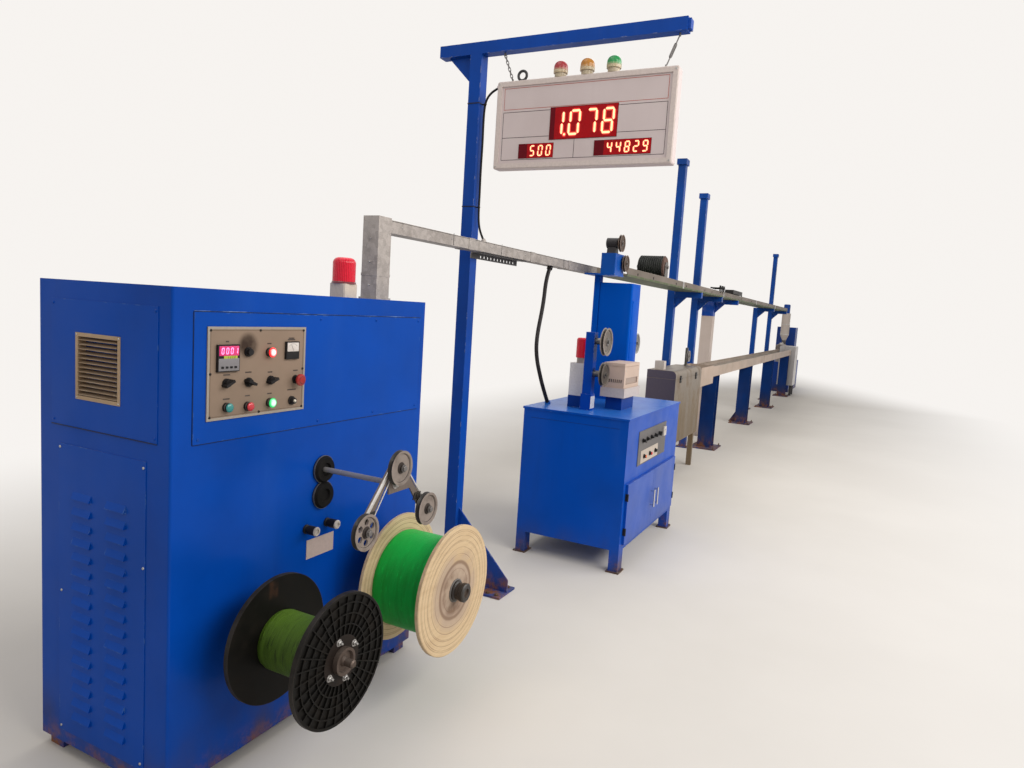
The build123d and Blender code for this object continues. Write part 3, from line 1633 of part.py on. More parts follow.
hopper_x = gearbox_start - hopper_setback
barrel_end = gearbox_start
barrel_start = barrel_end - barrel_length
barrel = round_x(extruder_y, extruder_height, barrel_start, barrel_end, barrel_radius)
heater_pitch = (hopper_x - throat_side - barrel_start) / heater_count
barrel += [
    round_x(
        extruder_y, extruder_height, barrel_start + heater_pitch * n + heater_gap / 2,
        barrel_start + heater_pitch * (n + 1) - heater_gap / 2, heater_radius,
    )
    for n in range(heater_count)
]
half_head = crosshead_height / 2
barrel += block(
    barrel_start - crosshead_length, barrel_start + 1, crosshead_front, crosshead_back,
    extruder_height - half_head, extruder_height + half_head,
)
die_end = barrel_start - crosshead_length
barrel += round_x(
    crosshead_front + crosshead_length / 2, extruder_height, die_end - crosshead_die_length, die_end + 1,
    crosshead_die_radius,
)
for x in (barrel_start + heater_pitch, barrel_start + heater_pitch * (heater_count - 1)):
    barrel += block(
        x - barrel_foot_length / 2, x + barrel_foot_length / 2, extruder_y - barrel_foot_width / 2,
        extruder_y + barrel_foot_width / 2, extruder_base_height, extruder_height,
    )
write("extruder_barrel", barrel)

# Hopper with its throat, cone and loader
half_throat = throat_side / 2
hopper = block(
    hopper_x - half_throat, hopper_x + half_throat, extruder_y - half_throat, extruder_y + half_throat,
    extruder_height, hopper_bottom - hopper_cone + 1,
)
cone = Cone(half_throat, hopper_radius, hopper_cone)
hopper += Pos(hopper_x, extruder_y, hopper_bottom - hopper_cone / 2) * cone
hopper += round_z(hopper_x, extruder_y, hopper_bottom, hopper_top, hopper_radius)
hopper += domed(hopper_x, extruder_y, hopper_top, hopper_top + loader_height, loader_radius, loader_radius / 3)
hopper -= round_x(
    extruder_y, extruder_height, barrel_start, barrel_end, barrel_radius + seat_clearance
)
write("material_hopper", hopper)
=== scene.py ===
import logging
import math
from dataclasses import dataclass
from enum import Enum
from typing import Optional, Sequence, Union

import bmesh
import bpy
from mathutils import Matrix, Vector


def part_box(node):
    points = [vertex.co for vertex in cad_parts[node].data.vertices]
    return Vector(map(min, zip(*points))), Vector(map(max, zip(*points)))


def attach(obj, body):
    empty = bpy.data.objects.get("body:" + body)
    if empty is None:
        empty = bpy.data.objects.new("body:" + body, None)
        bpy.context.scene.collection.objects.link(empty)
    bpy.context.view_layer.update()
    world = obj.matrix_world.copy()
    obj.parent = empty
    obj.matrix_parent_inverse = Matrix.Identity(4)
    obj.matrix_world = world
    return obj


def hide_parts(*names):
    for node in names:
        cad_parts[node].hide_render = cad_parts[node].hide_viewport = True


# Dresses a cable insulation extrusion line: the finishes of its machines, their small fittings, its two
# cords, the floor, the light and the camera. Lengths are in metres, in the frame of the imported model.

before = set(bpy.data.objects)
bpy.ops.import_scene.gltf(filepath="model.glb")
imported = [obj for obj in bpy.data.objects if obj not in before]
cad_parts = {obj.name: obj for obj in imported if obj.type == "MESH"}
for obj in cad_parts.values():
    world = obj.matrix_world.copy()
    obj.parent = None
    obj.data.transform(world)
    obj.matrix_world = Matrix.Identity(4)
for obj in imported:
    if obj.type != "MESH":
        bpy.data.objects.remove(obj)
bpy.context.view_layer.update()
log = logging.getLogger("extrusion_line")

Colour = tuple[float, float, float]
Place = tuple[float, float, float]
Pair = tuple[float, float]
Spot = Sequence[float]
Profile = Sequence[Pair]
Socket = bpy.types.NodeSocket
Value = Union[Socket, float, Spot]

ROOT = "line"
BACKDROP = (0.93, 0.90, 0.87)
POST_X = 1.450
SCREW_RADIUS = 0.0045
OPEN = (-math.inf, math.inf)


def below(limit: float) -> Pair:
    """Give the limits of all that is under a value."""
    return -math.inf, limit


def above(limit: float) -> Pair:
    """Give the limits of all that is over a value."""
    return limit, math.inf


def corners(x: float, y: float, dx: float, dy: float) -> list[Pair]:
    """Give the four corners round a middle."""
    return [(x + right, y + up) for right in (-dx, dx) for up in (-dy, dy)]


def toned(colour: Colour, share: float) -> Colour:
    """Give a colour times a share, at most white."""
    return tuple(min(1.0, part * share) for part in colour)


class Facing(Enum):
    """Which way a fitting stands, as the turn that brings its own +Z there."""

    LINE = Matrix.Rotation(math.pi / 2, 4, "Y")
    WALL = Matrix.Rotation(-math.pi / 2, 4, "X")
    UP = Matrix.Identity(4)
    AISLE = Matrix.Rotation(math.pi / 2, 4, "X")
    TAKEUP = Matrix.Rotation(-math.pi / 2, 4, "Y")


def seen_straight(tree: bpy.types.NodeTree) -> Socket:
    """Find what the camera sees, also in a mirror or through glass.

    Args:
        tree: The node tree to add this to.

    Returns:
        1 for such rays and 0 for the light's other bounces.
    """
    path = tree.nodes.new("ShaderNodeLightPath").outputs
    seen = path["Is Camera Ray"]
    for kind in ("Is Glossy Ray", "Is Transmission Ray"):
        most = tree.nodes.new("ShaderNodeMath")
        most.operation = "MAXIMUM"
        tree.links.new(seen, most.inputs[0])
        tree.links.new(path[kind], most.inputs[1])
        seen = most.outputs[0]
    return seen


class Shader:
    """The node tree of one finish, with short calls for what the finishes share."""

    def __init__(self, name: str) -> None:
        """Start a material that has only its surface.

        Args:
            name: The material's name.
        """
        self.material = bpy.data.materials.new(name)
        self.material.use_nodes = True
        self.tree = self.material.node_tree
        self.surface = self.tree.nodes["Principled BSDF"]
        self.place = self.tree.nodes.new("ShaderNodeTexCoord").outputs["Object"]

    def feed(self, socket: Socket, value: Value) -> None:
        """Link an input to a socket, or write a value on it.

        Args:
            socket: The input.
            value: An output socket, a number, a vector or a colour.
        """
        if isinstance(value, Socket):
            self.tree.links.new(value, socket)
        elif socket.type == "RGBA":
            socket.default_value = (*value, 1.0)
        else:
            socket.default_value = value

    def add(self, kind: str, inputs: dict[Union[int, str], Value], **settings: object) -> bpy.types.Node:
        """Add a node.

        Args:
            kind: The node's type, without its prefix.
            inputs: Values or sockets by the input's name or number.
            **settings: The node's own options.

        Returns:
            The new node.
        """
        node = self.tree.nodes.new("ShaderNode" + kind)
        for key, value in settings.items():
            setattr(node, key, value)
        for key, value in inputs.items():
            self.feed(node.inputs[key], value)
        return node

    def at(self, centre: Place = (0, 0, 0), stretch: Place = (1, 1, 1)) -> Socket:
        """Give the place on the piece from a centre, scaled along each axis."""
        shift = [-c * s for c, s in zip(centre, stretch)]
        return self.add("Mapping", {"Vector": self.place, "Location": shift, "Scale": stretch}).outputs[0]

    def noise(self, scale: float, detail: float = 4.0, stretch: Place = (1, 1, 1), rough: float = 0.55) -> Socket:
        """Give a noise of a scale per metre, around 0.5."""
        inputs = {"Vector": self.at(stretch=stretch), "Scale": scale, "Detail": detail, "Roughness": rough}
        return self.add("TexNoise", inputs).outputs[0]

    def math(self, operation: str, first: Value, second: Value = 0.0) -> Socket:
        """Do one step of arithmetic."""
        return self.add("Math", {0: first, 1: second}, operation=operation).outputs[0]

    def times(self, first: Value, second: Value) -> Socket:
        """Multiply two numbers."""
        return self.math("MULTIPLY", first, second)

    def band(self, value: Value, low: float, high: float, top: float = 1.0) -> Socket:
        """Rise smoothly from 0 at low to top at high, where low may be above high."""
        inputs = {"Value": value, "From Min": low, "From Max": high, "To Max": top}
        return self.add("MapRange", inputs, interpolation_type="SMOOTHSTEP").outputs[0]

    def mix(self, share: Value, first: Value, second: Value) -> Socket:
        """Blend two colours."""
        return self.add("Mix", {0: share, 6: first, 7: second}, data_type="RGBA").outputs[2]

    def split(self, vector: Socket) -> list[Socket]:
        """Give the three numbers of a vector."""
        return list(self.add("SeparateXYZ", {0: vector}).outputs)

    def normal(self) -> Socket:
        """Give the surface's own normal."""
        return self.add("NewGeometry", {}).outputs["Normal"]

    def upward(self, low: float = 0.5, high: float = 0.95, top: float = 1.0) -> Socket:
        """Rise from 0 to top where faces look up."""
        return self.band(self.split(self.normal())[2], low, high, top)

    def corner(self, radius: float) -> Socket:
        """Find the outer edges of the piece.

        Args:
            radius: How far from an edge its wear reaches.

        Returns:
            About 1 on the edges, fading over the radius.
        """
        soft = self.add("Bevel", {"Radius": radius}, samples=4).outputs[0]
        level = self.add("VectorMath", {0: soft, 1: self.normal()}, operation="DOT_PRODUCT").outputs["Value"]
        return self.band(level, 0.985, 0.86)

    def off_axis(self, centre: Place) -> Socket:
        """Give the distance from an axis along Y through a centre."""
        return self.add("VectorMath", {0: self.at(centre, (1, 0, 1))}, operation="LENGTH").outputs["Value"]

    def bump(self, height: Socket, strength: float, distance: float) -> None:
        """Raise the surface by a height from 0 to 1 times a distance."""
        node = self.add("Bump", {"Height": height, "Strength": strength, "Distance": distance})
        self.feed(self.surface.inputs["Normal"], node.outputs[0])

    def set(self, **values: Value) -> None:
        """Fill inputs of the surface, named with _ for a blank."""
        for key, value in values.items():
            self.feed(self.surface.inputs[key.replace("_", " ")], value)

    def over(self, name: str, share: Socket, value: Value) -> None:
        """Lay a value over what an input has.

        Args:
            name: The surface's input.
            share: How much of the new value shows.
            value: The number or colour that goes on top.
        """
        socket = self.surface.inputs[name]
        under = socket.links[0].from_socket if socket.is_linked else socket.default_value
        if socket.type == "RGBA":
            under = under if isinstance(under, Socket) else tuple(under)[:3]
            self.feed(socket, self.mix(share, under, value))
        else:
            inputs = {0: share, 2: under, 3: value}
            self.feed(socket, self.add("Mix", inputs, data_type="FLOAT").outputs[0])


class Finish:
    """A finish. It makes its material on first use and gives the same one again."""

    name: str
    made: dict[str, bpy.types.Material] = {}

    def build(self, shader: Shader) -> None:
        """Fill a new material."""
        raise NotImplementedError

    def material(self) -> bpy.types.Material:
        """Make the finish's material once.

        Returns:
            The material.
        """
        if self.name not in Finish.made:
            shader = Shader(self.name)
            self.build(shader)
            Finish.made[self.name] = shader.material
        return Finish.made[self.name]


@dataclass(frozen=True)
class Enamel(Finish):
    """Paint on steel, with blotches, streaks, scratches, worn edges, settled dust, floor dirt and rust.

    Args:
        name: The material's name.
        colour: The clean paint.
        shade: What its blotches and streaks lean to.
        chip: What shows where the paint is worn.
        roughness: The paint's roughness.
        coat: Share of a clear gloss.
        wear: Share of edges that are worn.
        grime: Height over the floor that dirt reaches.
        rust: Share of rust near the floor.
        dust: Share of dust on faces that look up.
        shine: The level of its mirror-like shine.
    """

    name: str
    colour: Colour
    shade: Colour
    chip: Colour = (0.36, 0.38, 0.42)
    roughness: float = 0.36
    coat: float = 0.08
    wear: float = 0.45
    grime: float = 0.0
    rust: float = 0.0
    dust: float = 0.3
    shine: float = 0.09

    def build(self, shader: Shader) -> None:
        """Layer the paint and its wear.

        Args:
            shader: The new material's node tree.
        """
        blotch = shader.band(shader.noise(1.7, 5.0), 0.35, 0.72)
        streak = shader.band(shader.noise(16.0, 5.0, (1, 1, 0.07)), 0.45, 0.8, 0.5)
        fine = shader.noise(230.0, 3.0)
        tone = shader.mix(shader.math("MAXIMUM", blotch, streak), self.colour, self.shade)
        scratch = shader.band(shader.noise(7.0, 12.0, (1, 1, 1.6), 0.74), 0.69, 0.72, 0.5 * self.wear)
        smear = shader.band(shader.noise(3.1, 6.0, (1.6, 1.6, 0.35)), 0.56, 0.8, 0.07)
        tone = shader.mix(smear, tone, self.chip)
        rubbed = shader.times(shader.corner(0.006), shader.band(shader.noise(30.0, 6.0), 0.66 - 0.3 * self.wear, 0.68))
        bare = shader.math("MAXIMUM", scratch, rubbed)
        tone = shader.mix(bare, tone, self.chip)
        settled = shader.times(shader.upward(), shader.band(shader.noise(11.0, 8.0), 0.25, 0.8, self.dust))
        tone = shader.mix(settled, tone, (0.40, 0.36, 0.32))
        height = shader.split(shader.place)[2]
        if self.grime > 0:
            soil = shader.band(shader.noise(9.0, 8.0, (1, 1, 0.5)), 0.25, 0.75, 0.75)
            tone = shader.mix(shader.times(shader.band(height, self.grime, 0.0), soil), tone, (0.055, 0.045, 0.04))
        if self.rust > 0:
            spots = shader.band(shader.noise(14.0, 10.0, rough=0.7), 0.58 - 0.2 * self.rust, 0.64)
            patch = shader.times(shader.band(height, self.grime * 0.45, 0.0), spots)
            tone = shader.mix(patch, tone, shader.mix(fine, (0.15, 0.05, 0.018), (0.30, 0.13, 0.05)))
        gloss = shader.math("ADD", shader.band(shader.noise(6.0, 5.0), 0.3, 0.8, 0.14), self.roughness)
        rough = shader.math("ADD", gloss, shader.times(settled, 0.5))
        peel = shader.math("ADD", shader.times(fine, 0.35), shader.noise(26.0, 3.0))
        shader.bump(shader.math("SUBTRACT", peel, shader.times(bare, 0.6)), 0.09, 0.0010)
        shader.set(
            Base_Color=tone, Roughness=rough, Specular_IOR_Level=self.shine, Coat_Weight=self.coat, Coat_Roughness=0.2,
        )


@dataclass(frozen=True)
class Metal(Finish):
    """Bare or plated metal: brushing, zinc flakes, stains and dust.

    Args:
        name: The material's name.
        colour: The clean metal.
        stain: The colour of its stains.
        grain: How far the brushing is stretched along each axis, small along the grain.
        roughness: The clean metal's roughness.
        amount: Share of stains.
        flakes: Share of zinc flakes.
        dust: Share of dust on faces that look up.
        silt_and_reflection: Height over the floor below which the metal turns yellow-brown.
    """

    name: str
    colour: Colour
    stain: Colour = (0.10, 0.075, 0.05)
    grain: Place = (0.03, 1.0, 1.0)
    roughness: float = 0.32
    amount: float = 0.35
    flakes: float = 0.0
    dust: float = 0.2
    silt_and_reflection: float = 0.0

    def build(self, shader: Shader) -> None:
        """Layer the metal and what lies on it.

        Args:
            shader: The new material's node tree.
        """
        brush = shader.noise(420.0, 4.0, self.grain)
        stain = shader.band(shader.noise(5.5, 9.0, (1, 1, 0.7), 0.66), 0.48, 0.76, self.amount)
        tone = shader.mix(shader.band(brush, 0.3, 0.75, 0.35), self.colour, toned(self.colour, 0.6))
        if self.flakes > 0:
            flake = shader.add("TexVoronoi", {"Vector": shader.place, "Scale": 45.0}).outputs["Color"]
            level = shader.band(shader.split(flake)[0], 0.2, 0.9, self.flakes)
            tone = shader.mix(level, tone, toned(self.colour, 1.45))
        tone = shader.mix(stain, tone, self.stain)
        settled = shader.times(shader.upward(), shader.band(shader.noise(14.0, 8.0), 0.3, 0.8, self.dust))
        tone = shader.mix(settled, tone, (0.38, 0.34, 0.30))
        # Yellow-brown tint that fades upwards: partly silt stain, partly a painted golden reflection.
        if self.silt_and_reflection > 0:
            run = shader.band(shader.noise(7.0, 7.0, (1, 1, 0.12)), 0.25, 0.7, 0.85)
            low = shader.band(shader.split(shader.place)[2], self.silt_and_reflection, self.silt_and_reflection * 0.55)
            tone = shader.mix(shader.times(low, run), tone, (0.19, 0.125, 0.052))
        shader.bump(brush, 0.12, 0.0006)
        rough = shader.math("ADD", shader.times(stain, 0.35), shader.band(brush, 0.2, 0.8, 0.16))
        rough = shader.math("ADD", rough, self.roughness)
        clean = shader.math("SUBTRACT", 1.0, shader.math("MAXIMUM", stain, settled))
        shader.set(Base_Color=tone, Roughness=rough, Metallic=clean)


@dataclass(frozen=True)
class Moulded(Finish):
    """Plastic or rubber with a fine grain, rubbed and dusty in places.

    Args:
        name: The material's name.
        colour: The plastic.
        dusty: The dust on it.
        roughness: The clean plastic's roughness.
        dust: Share of dust.
        grain: Scale of the grain per metre.
        shine: The level of its mirror-like shine.
    """

    name: str
    colour: Colour
    dusty: Colour = (0.16, 0.145, 0.13)
    roughness: float = 0.42
    dust: float = 0.35
    grain: float = 500.0
    shine: float = 0.15

    def build(self, shader: Shader) -> None:
        """Layer the plastic and its dust.

        Args:
            shader: The new material's node tree.
        """
        fine = shader.noise(self.grain, 3.0)
        worn = shader.band(shader.noise(18.0, 8.0), 0.42, 0.8, self.dust)
        tone = shader.mix(worn, self.colour, self.dusty)
        tone = shader.mix(shader.band(fine, 0.4, 0.8, 0.15), tone, toned(self.colour, 1.6))
        shader.bump(fine, 0.2, 0.0004)
        rough = shader.math("ADD", shader.times(worn, 0.5), self.roughness)
        shader.set(Base_Color=tone, Roughness=rough, Specular_IOR_Level=self.shine)


@dataclass(frozen=True)
class TurnedWood(Finish):
    """Plywood turned to a disc: contour rings, a brown ring near the hub, and plies on the rim.

    Args:
        name: The material's name.
        centre: A point on the reel's axis.
        rim: The flange's radius.
        pale: The clean wood.
        deep: The darker grain and contours.
        brown: The ring near the hub, the turned lines and the plies.
        worn: Where the wood is rubbed grey.
        lines: Where the turned lines lie, as shares of the rim.
    """

    name: str
    centre: Place
    rim: float
    pale: Colour = (0.66, 0.51, 0.32)
    deep: Colour = (0.44, 0.29, 0.155)
    brown: Colour = (0.20, 0.12, 0.075)
    worn: Colour = (0.42, 0.32, 0.25)
    lines: Spot = (0.56, 0.66, 0.745, 0.765, 0.84, 0.905, 0.93)

    def build(self, shader: Shader) -> None:
        """Layer the wood's rings, plies and soiling.

        Args:
            shader: The new material's node tree.
        """
        out = shader.off_axis(self.centre)
        sway = shader.times(shader.math("SUBTRACT", shader.noise(5.0, 3.0), 0.5), 0.05 * self.rim)
        share = shader.math("DIVIDE", shader.math("ADD", out, sway), self.rim)
        grain = shader.noise(60.0, 8.0, (0.12, 1.0, 1.0), 0.6)
        smudge = shader.noise(9.0, 8.0)
        tone = shader.mix(shader.band(grain, 0.35, 0.8, 0.45), self.pale, self.deep)
        contour = shader.add("TexNoise", {"W": shader.times(share, 26.0), "Detail": 3.0}, noise_dimensions="1D")
        tone = shader.mix(shader.band(contour.outputs[0], 0.42, 0.62, 0.55), tone, self.deep)
        tone = shader.mix(shader.band(share, 0.74, 0.50, 0.35), tone, self.deep)
        tone = shader.mix(shader.times(shader.band(share, 0.47, 0.40), 0.8), tone, self.worn)
        scuffed = shader.times(shader.band(share, 0.72, 0.50, 0.75), shader.band(smudge, 0.35, 0.6))
        tone = shader.mix(scuffed, tone, self.worn)
        soiled = shader.times(shader.band(share, 0.46, 0.30), shader.band(smudge, 0.42, 0.7))
        tone = shader.mix(soiled, tone, self.brown)
        halo = shader.times(shader.band(share, 0.385, 0.42), shader.band(share, 0.475, 0.44))
        tone = shader.mix(shader.times(halo, 0.8), tone, self.brown)
        line = shader.times(shader.band(share, 0.325, 0.33), shader.band(share, 0.34, 0.335))
        for place in self.lines:
            rise = shader.band(share, place - 0.006, place - 0.002)
            line = shader.math("MAXIMUM", line, shader.times(rise, shader.band(share, place + 0.006, place + 0.002)))
        tone = shader.mix(shader.times(line, shader.band(smudge, 0.22, 0.6, 0.8)), tone, self.brown)
        edge = shader.band(out, self.rim - 0.004, self.rim - 0.001)
        ply = shader.math("FRACT", shader.times(shader.split(shader.place)[1], 330.0))
        tone = shader.mix(shader.times(edge, shader.band(ply, 0.35, 0.65, 0.6)), tone, self.brown)
        tone = shader.mix(shader.band(smudge, 0.55, 0.8, 0.18), tone, (0.20, 0.15, 0.11))
        shader.bump(shader.math("SUBTRACT", grain, shader.times(line, 0.6)), 0.3, 0.0009)
        shader.set(Base_Color=tone, Roughness=0.62, Specular_IOR_Level=0.3)


@dataclass(frozen=True)
class WoundWire(Finish):
    """Insulated wire in close turns, as fine ridges round the reel with a few looser ones across, with painted shade
    between the turns, painted glints and a painted lighter top.

    Args:
        name: The material's name.
        colour: The insulation.
        dark: The painted shade between turns and in the gaps between loose turns, also the tone of darker bunched
            patches.
        pitch: The width of a turn.
        loose: Share of painted shade in the gaps between loose turns.
    """

    name: str
    colour: Colour
    dark: Colour
    pitch: float = 0.0024
    loose: float = 0.15

    def build(self, shader: Shader) -> None:
        """Layer the turns, their bunching, and the painted shade, glints and lighter top.

        Args:
            shader: The new material's node tree.
        """
        sway = shader.times(shader.noise(9.0, 4.0), 0.006)
        side = shader.math("ADD", shader.split(shader.place)[1], sway)
        ridge = shader.band(shader.math("SINE", shader.times(side, 2 * math.pi / self.pitch)), -1.0, 1.0)
        bunch = shader.noise(60.0, 6.0, (0.15, 1.0, 0.15))
        loose = shader.band(shader.noise(150.0, 3.0, (0.10, 1.0, 0.10), 0.6), 0.56, 0.62, self.loose)
        tone = shader.mix(shader.band(bunch, 0.25, 0.8, 0.65), self.colour, self.dark)
        # Painted shade in the troughs between turns.
        tone = shader.mix(shader.times(shader.math("SUBTRACT", 1.0, ridge), 0.55), tone, self.dark)
        # Painted glints: lighter streaks along the turns.
        painted_glint = shader.band(shader.noise(90.0, 5.0, (0.25, 1.4, 0.25)), 0.60, 0.74, 0.45)
        tone = shader.mix(painted_glint, tone, toned(self.colour, 1.9))
        # Painted shade in the gaps between loose turns.
        tone = shader.mix(loose, tone, self.dark)
        # Faces that look up are painted lighter: painted light on the winding's top.
        tone = shader.mix(shader.upward(0.2, 1.0, 0.4), tone, toned(self.colour, 1.7))
        shader.bump(shader.math("ADD", ridge, shader.times(bunch, 1.4)), 0.5, 0.0011)
        shader.set(Base_Color=tone, Roughness=0.42, Specular_IOR_Level=0.2)


@dataclass(frozen=True)
class Lens(Finish):
    """A tinted plastic lens or a lit display, mottled by dust.

    Args:
        name: The material's name.
        colour: The plastic.
        core: The colour of the light inside.
        glow: Strength of the light.
        roughness: The plastic's roughness.
        centre: A point on the lens's axis, where its core fades outwards.
        reach: How far from the axis the core has faded.
    """

    name: str
    colour: Colour
    core: Colour = (1.0, 1.0, 1.0)
    glow: float = 0.0
    roughness: float = 0.16
    centre: Optional[Place] = None
    reach: float = 0.0

    def build(self, shader: Shader) -> None:
        """Tint the lens and light it.

        Args:
            shader: The new material's node tree.
        """
        mottle = shader.band(shader.noise(70.0, 4.0), 0.3, 0.8, 0.35)
        tone = shader.mix(mottle, self.colour, toned(self.colour, 0.45))
        shader.bump(shader.noise(160.0, 2.0), 0.06, 0.0006)
        if self.centre is not None:
            mottle = shader.band(shader.off_axis(self.centre), self.reach * 0.4, self.reach)
        if self.glow > 0:
            shader.set(Emission_Color=shader.mix(mottle, self.core, self.colour), Emission_Strength=self.glow)
        shader.set(Base_Color=tone, Roughness=self.roughness, Coat_Weight=0.6, Coat_Roughness=0.08)


@dataclass(frozen=True)
class RibbedDome(Finish):
    """A translucent lamp dome with upright prisms inside, a painted highlight on each prism's bright side and a painted
    highlight on its crown.

    Args:
        name: The material's name.
        centre: A point on the dome's axis.
        colour: The plastic.
        pale: The painted highlight on each prism's bright side and on the crown.
        ribs: Prisms round the dome.
    """

    name: str
    centre: Place
    colour: Colour
    pale: Colour
    ribs: float = 40.0

    def build(self, shader: Shader) -> None:
        """Layer the prisms and the painted highlights on the prisms and the crown.

        Args:
            shader: The new material's node tree.
        """
        x, y, _ = shader.split(shader.at(self.centre))
        turn = shader.math("ARCTAN2", y, x)
        prism = shader.band(shader.math("SINE", shader.times(turn, self.ribs)), -1.0, 1.0)
        # Painted highlight on the bright side of each prism.
        tone = shader.mix(shader.times(prism, 0.5), self.colour, self.pale)
        # Faces that look up are painted pale: a painted highlight on the crown.
        tone = shader.mix(shader.times(shader.upward(), 0.5), tone, self.pale)
        shader.bump(prism, 0.5, 0.0012)
        shader.set(
            Base_Color=tone, Roughness=0.25, Specular_IOR_Level=0.2, Coat_Weight=0.25, Coat_Roughness=0.08,
            Emission_Color=tone, Emission_Strength=0.22,
        )


@dataclass(frozen=True)
class StillWater(Finish):
    """Cooling water with fine ripples and a grey-green bottom."""

    name: str = "cooling_water"

    def build(self, shader: Shader) -> None:
        """Tint and ripple the water.

        Args:
            shader: The new material's node tree.
        """
        ripple = shader.noise(14.0, 3.0, (0.5, 1.0, 1.0))
        tone = shader.mix(shader.band(ripple, 0.3, 0.7), (0.10, 0.12, 0.11), (0.17, 0.19, 0.17))
        shader.bump(ripple, 0.25, 0.003)
        shader.set(Base_Color=tone, Roughness=0.06, IOR=1.33)


@dataclass(frozen=True)
class PaleFloor(Finish):
    """The plain pale floor under the line, which fades to the backdrop away from it.

    Args:
        name: The material's name.
        middle: The middle of the row.
        half: How far from there the floor is whole along the row.
        near: Where the fade starts, from the row's axis.
        fade: Where it ends.
    """

    name: str = "pale_floor"
    middle: float = 7.0
    half: float = 7.5
    near: float = 0.6
    fade: float = 4.8

    def build(self, shader: Shader) -> None:
        """Mottle the floor faintly and keep it pale to the eye.

        Args:
            shader: The new material's node tree.
        """
        cloud = shader.band(shader.noise(0.5, 5.0), 0.3, 0.75)
        tone = shader.mix(cloud, (0.58, 0.55, 0.51), (0.64, 0.61, 0.57))
        x, y, _ = shader.split(shader.at((self.middle, 0.0, 0.0), (0.5, 1.0, 1.0)))
        beyond = shader.math("MAXIMUM", shader.math("SUBTRACT", shader.math("ABSOLUTE", x), self.half / 2), 0.0)
        far = shader.band(shader.math("ADD", beyond, shader.math("ABSOLUTE", y)), self.near, self.fade)
        open_floor = shader.times(far, seen_straight(shader.tree))
        shader.set(Emission_Color=BACKDROP, Emission_Strength=open_floor)
        shader.set(Base_Color=shader.mix(open_floor, tone, (0, 0, 0)), Roughness=0.8, Specular_IOR_Level=0.0)


@dataclass(frozen=True)
class Zone:
    """A part of a node that has a finish of its own.

    Args:
        colour: Its colour.
        x: Its limits along the line.
        y: Its limits across the line.
        z: Its limits in height.
        roughness: Its roughness.
        metal: How metallic it is.
        axis: A point on its axis along Y, where it is a ring.
        ring: The ring's inner and outer radius.
        patchy: Share that blotches take off it.
        soft: Half the width over which its edge fades.
    """

    colour: Colour
    x: Pair = OPEN
    y: Pair = OPEN
    z: Pair = OPEN
    roughness: float = 0.45
    metal: float = 0.0
    axis: Optional[Place] = None
    ring: Pair = OPEN
    patchy: float = 0.0
    soft: float = 0.0004

    def share(self, shader: Shader) -> Socket:
        """Mark the zone.

        Args:
            shader: The material's node tree.

        Returns:
            1 inside the zone and 0 outside.
        """
        measures = list(zip(shader.split(shader.place), (self.x, self.y, self.z)))
        if self.axis is not None:
            measures.append((shader.off_axis(self.axis), self.ring))
        share = None
        for value, limits in measures:
            for limit, side in zip(limits, (1, -1)):
                if math.isfinite(limit):
                    cut = shader.band(value, limit - side * self.soft, limit + side * self.soft)
                    share = shader.times(share, cut) if share else cut
        if self.patchy > 0:
            hold = shader.math("SUBTRACT", 1.0, shader.band(shader.noise(16.0, 8.0), 0.4, 0.75, self.patchy))
            share = shader.times(share, hold)
        return share


@dataclass(frozen=True)
class Zoned(Finish):
    """A finish with zones of other finishes on it, for a node that is one solid in several materials.

    Args:
        name: The material's name.
        base: The finish under the zones.
        zones: The zones, each laid over those before it.
    """

    name: str
    base: Finish
    zones: tuple[Zone, ...]

    def build(self, shader: Shader) -> None:
        """Lay the zones over the base.

        Args:
            shader: The new material's node tree.
        """
        self.base.build(shader)
        fine = shader.noise(90.0, 5.0)
        for zone in self.zones:
            share = zone.share(shader)
            tone = shader.mix(shader.band(fine, 0.3, 0.8, 0.25), zone.colour, toned(zone.colour, 0.55))
            shader.over("Base Color", share, tone)
            shader.over("Roughness", share, zone.roughness)
            shader.over("Metallic", share, zone.metal)
            if isinstance(self.base, RibbedDome):
                shader.over("Emission Strength", share, 0.0)


def soften(shape: bmesh.types.BMesh, edges: list[bmesh.types.BMEdge], offset: float, segments: int) -> None:
    """Bevel some edges of a shape.

    Args:
        shape: The shape.
        edges: The edges.
        offset: How far the bevel reaches.
        segments: Its faces across.
    """
    bmesh.ops.bevel(shape, geom=edges, offset=offset, affect="EDGES", segments=segments, profile=0.5, material=-1)


def block(width: float, height: float, thickness: float) -> tuple[bmesh.types.BMesh, list[bmesh.types.BMEdge]]:
    """Start a block that stands on its origin.

    Args:
        width: Its size along X.
        height: Its size along Y.
        thickness: Its size along Z.

    Returns:
        The block, and its four upright edges.
    """
    shape = bmesh.new()
    bmesh.ops.create_cube(shape, size=1.0)
    bmesh.ops.scale(shape, vec=(width, height, thickness), verts=shape.verts)
    bmesh.ops.translate(shape, vec=(0, 0, thickness / 2), verts=shape.verts)
    return shape, [e for e in shape.edges if abs(e.verts[0].co.z - e.verts[1].co.z) > thickness / 2]


def placed(name: str, data: bpy.types.ID) -> bpy.types.Object:
    """Put a new object in the scene.

    Args:
        name: Its name.
        data: Its mesh, curve, light or camera.

    Returns:
        The object.
    """
    piece = bpy.data.objects.new(name, data)
    bpy.context.scene.collection.objects.link(piece)
    return piece


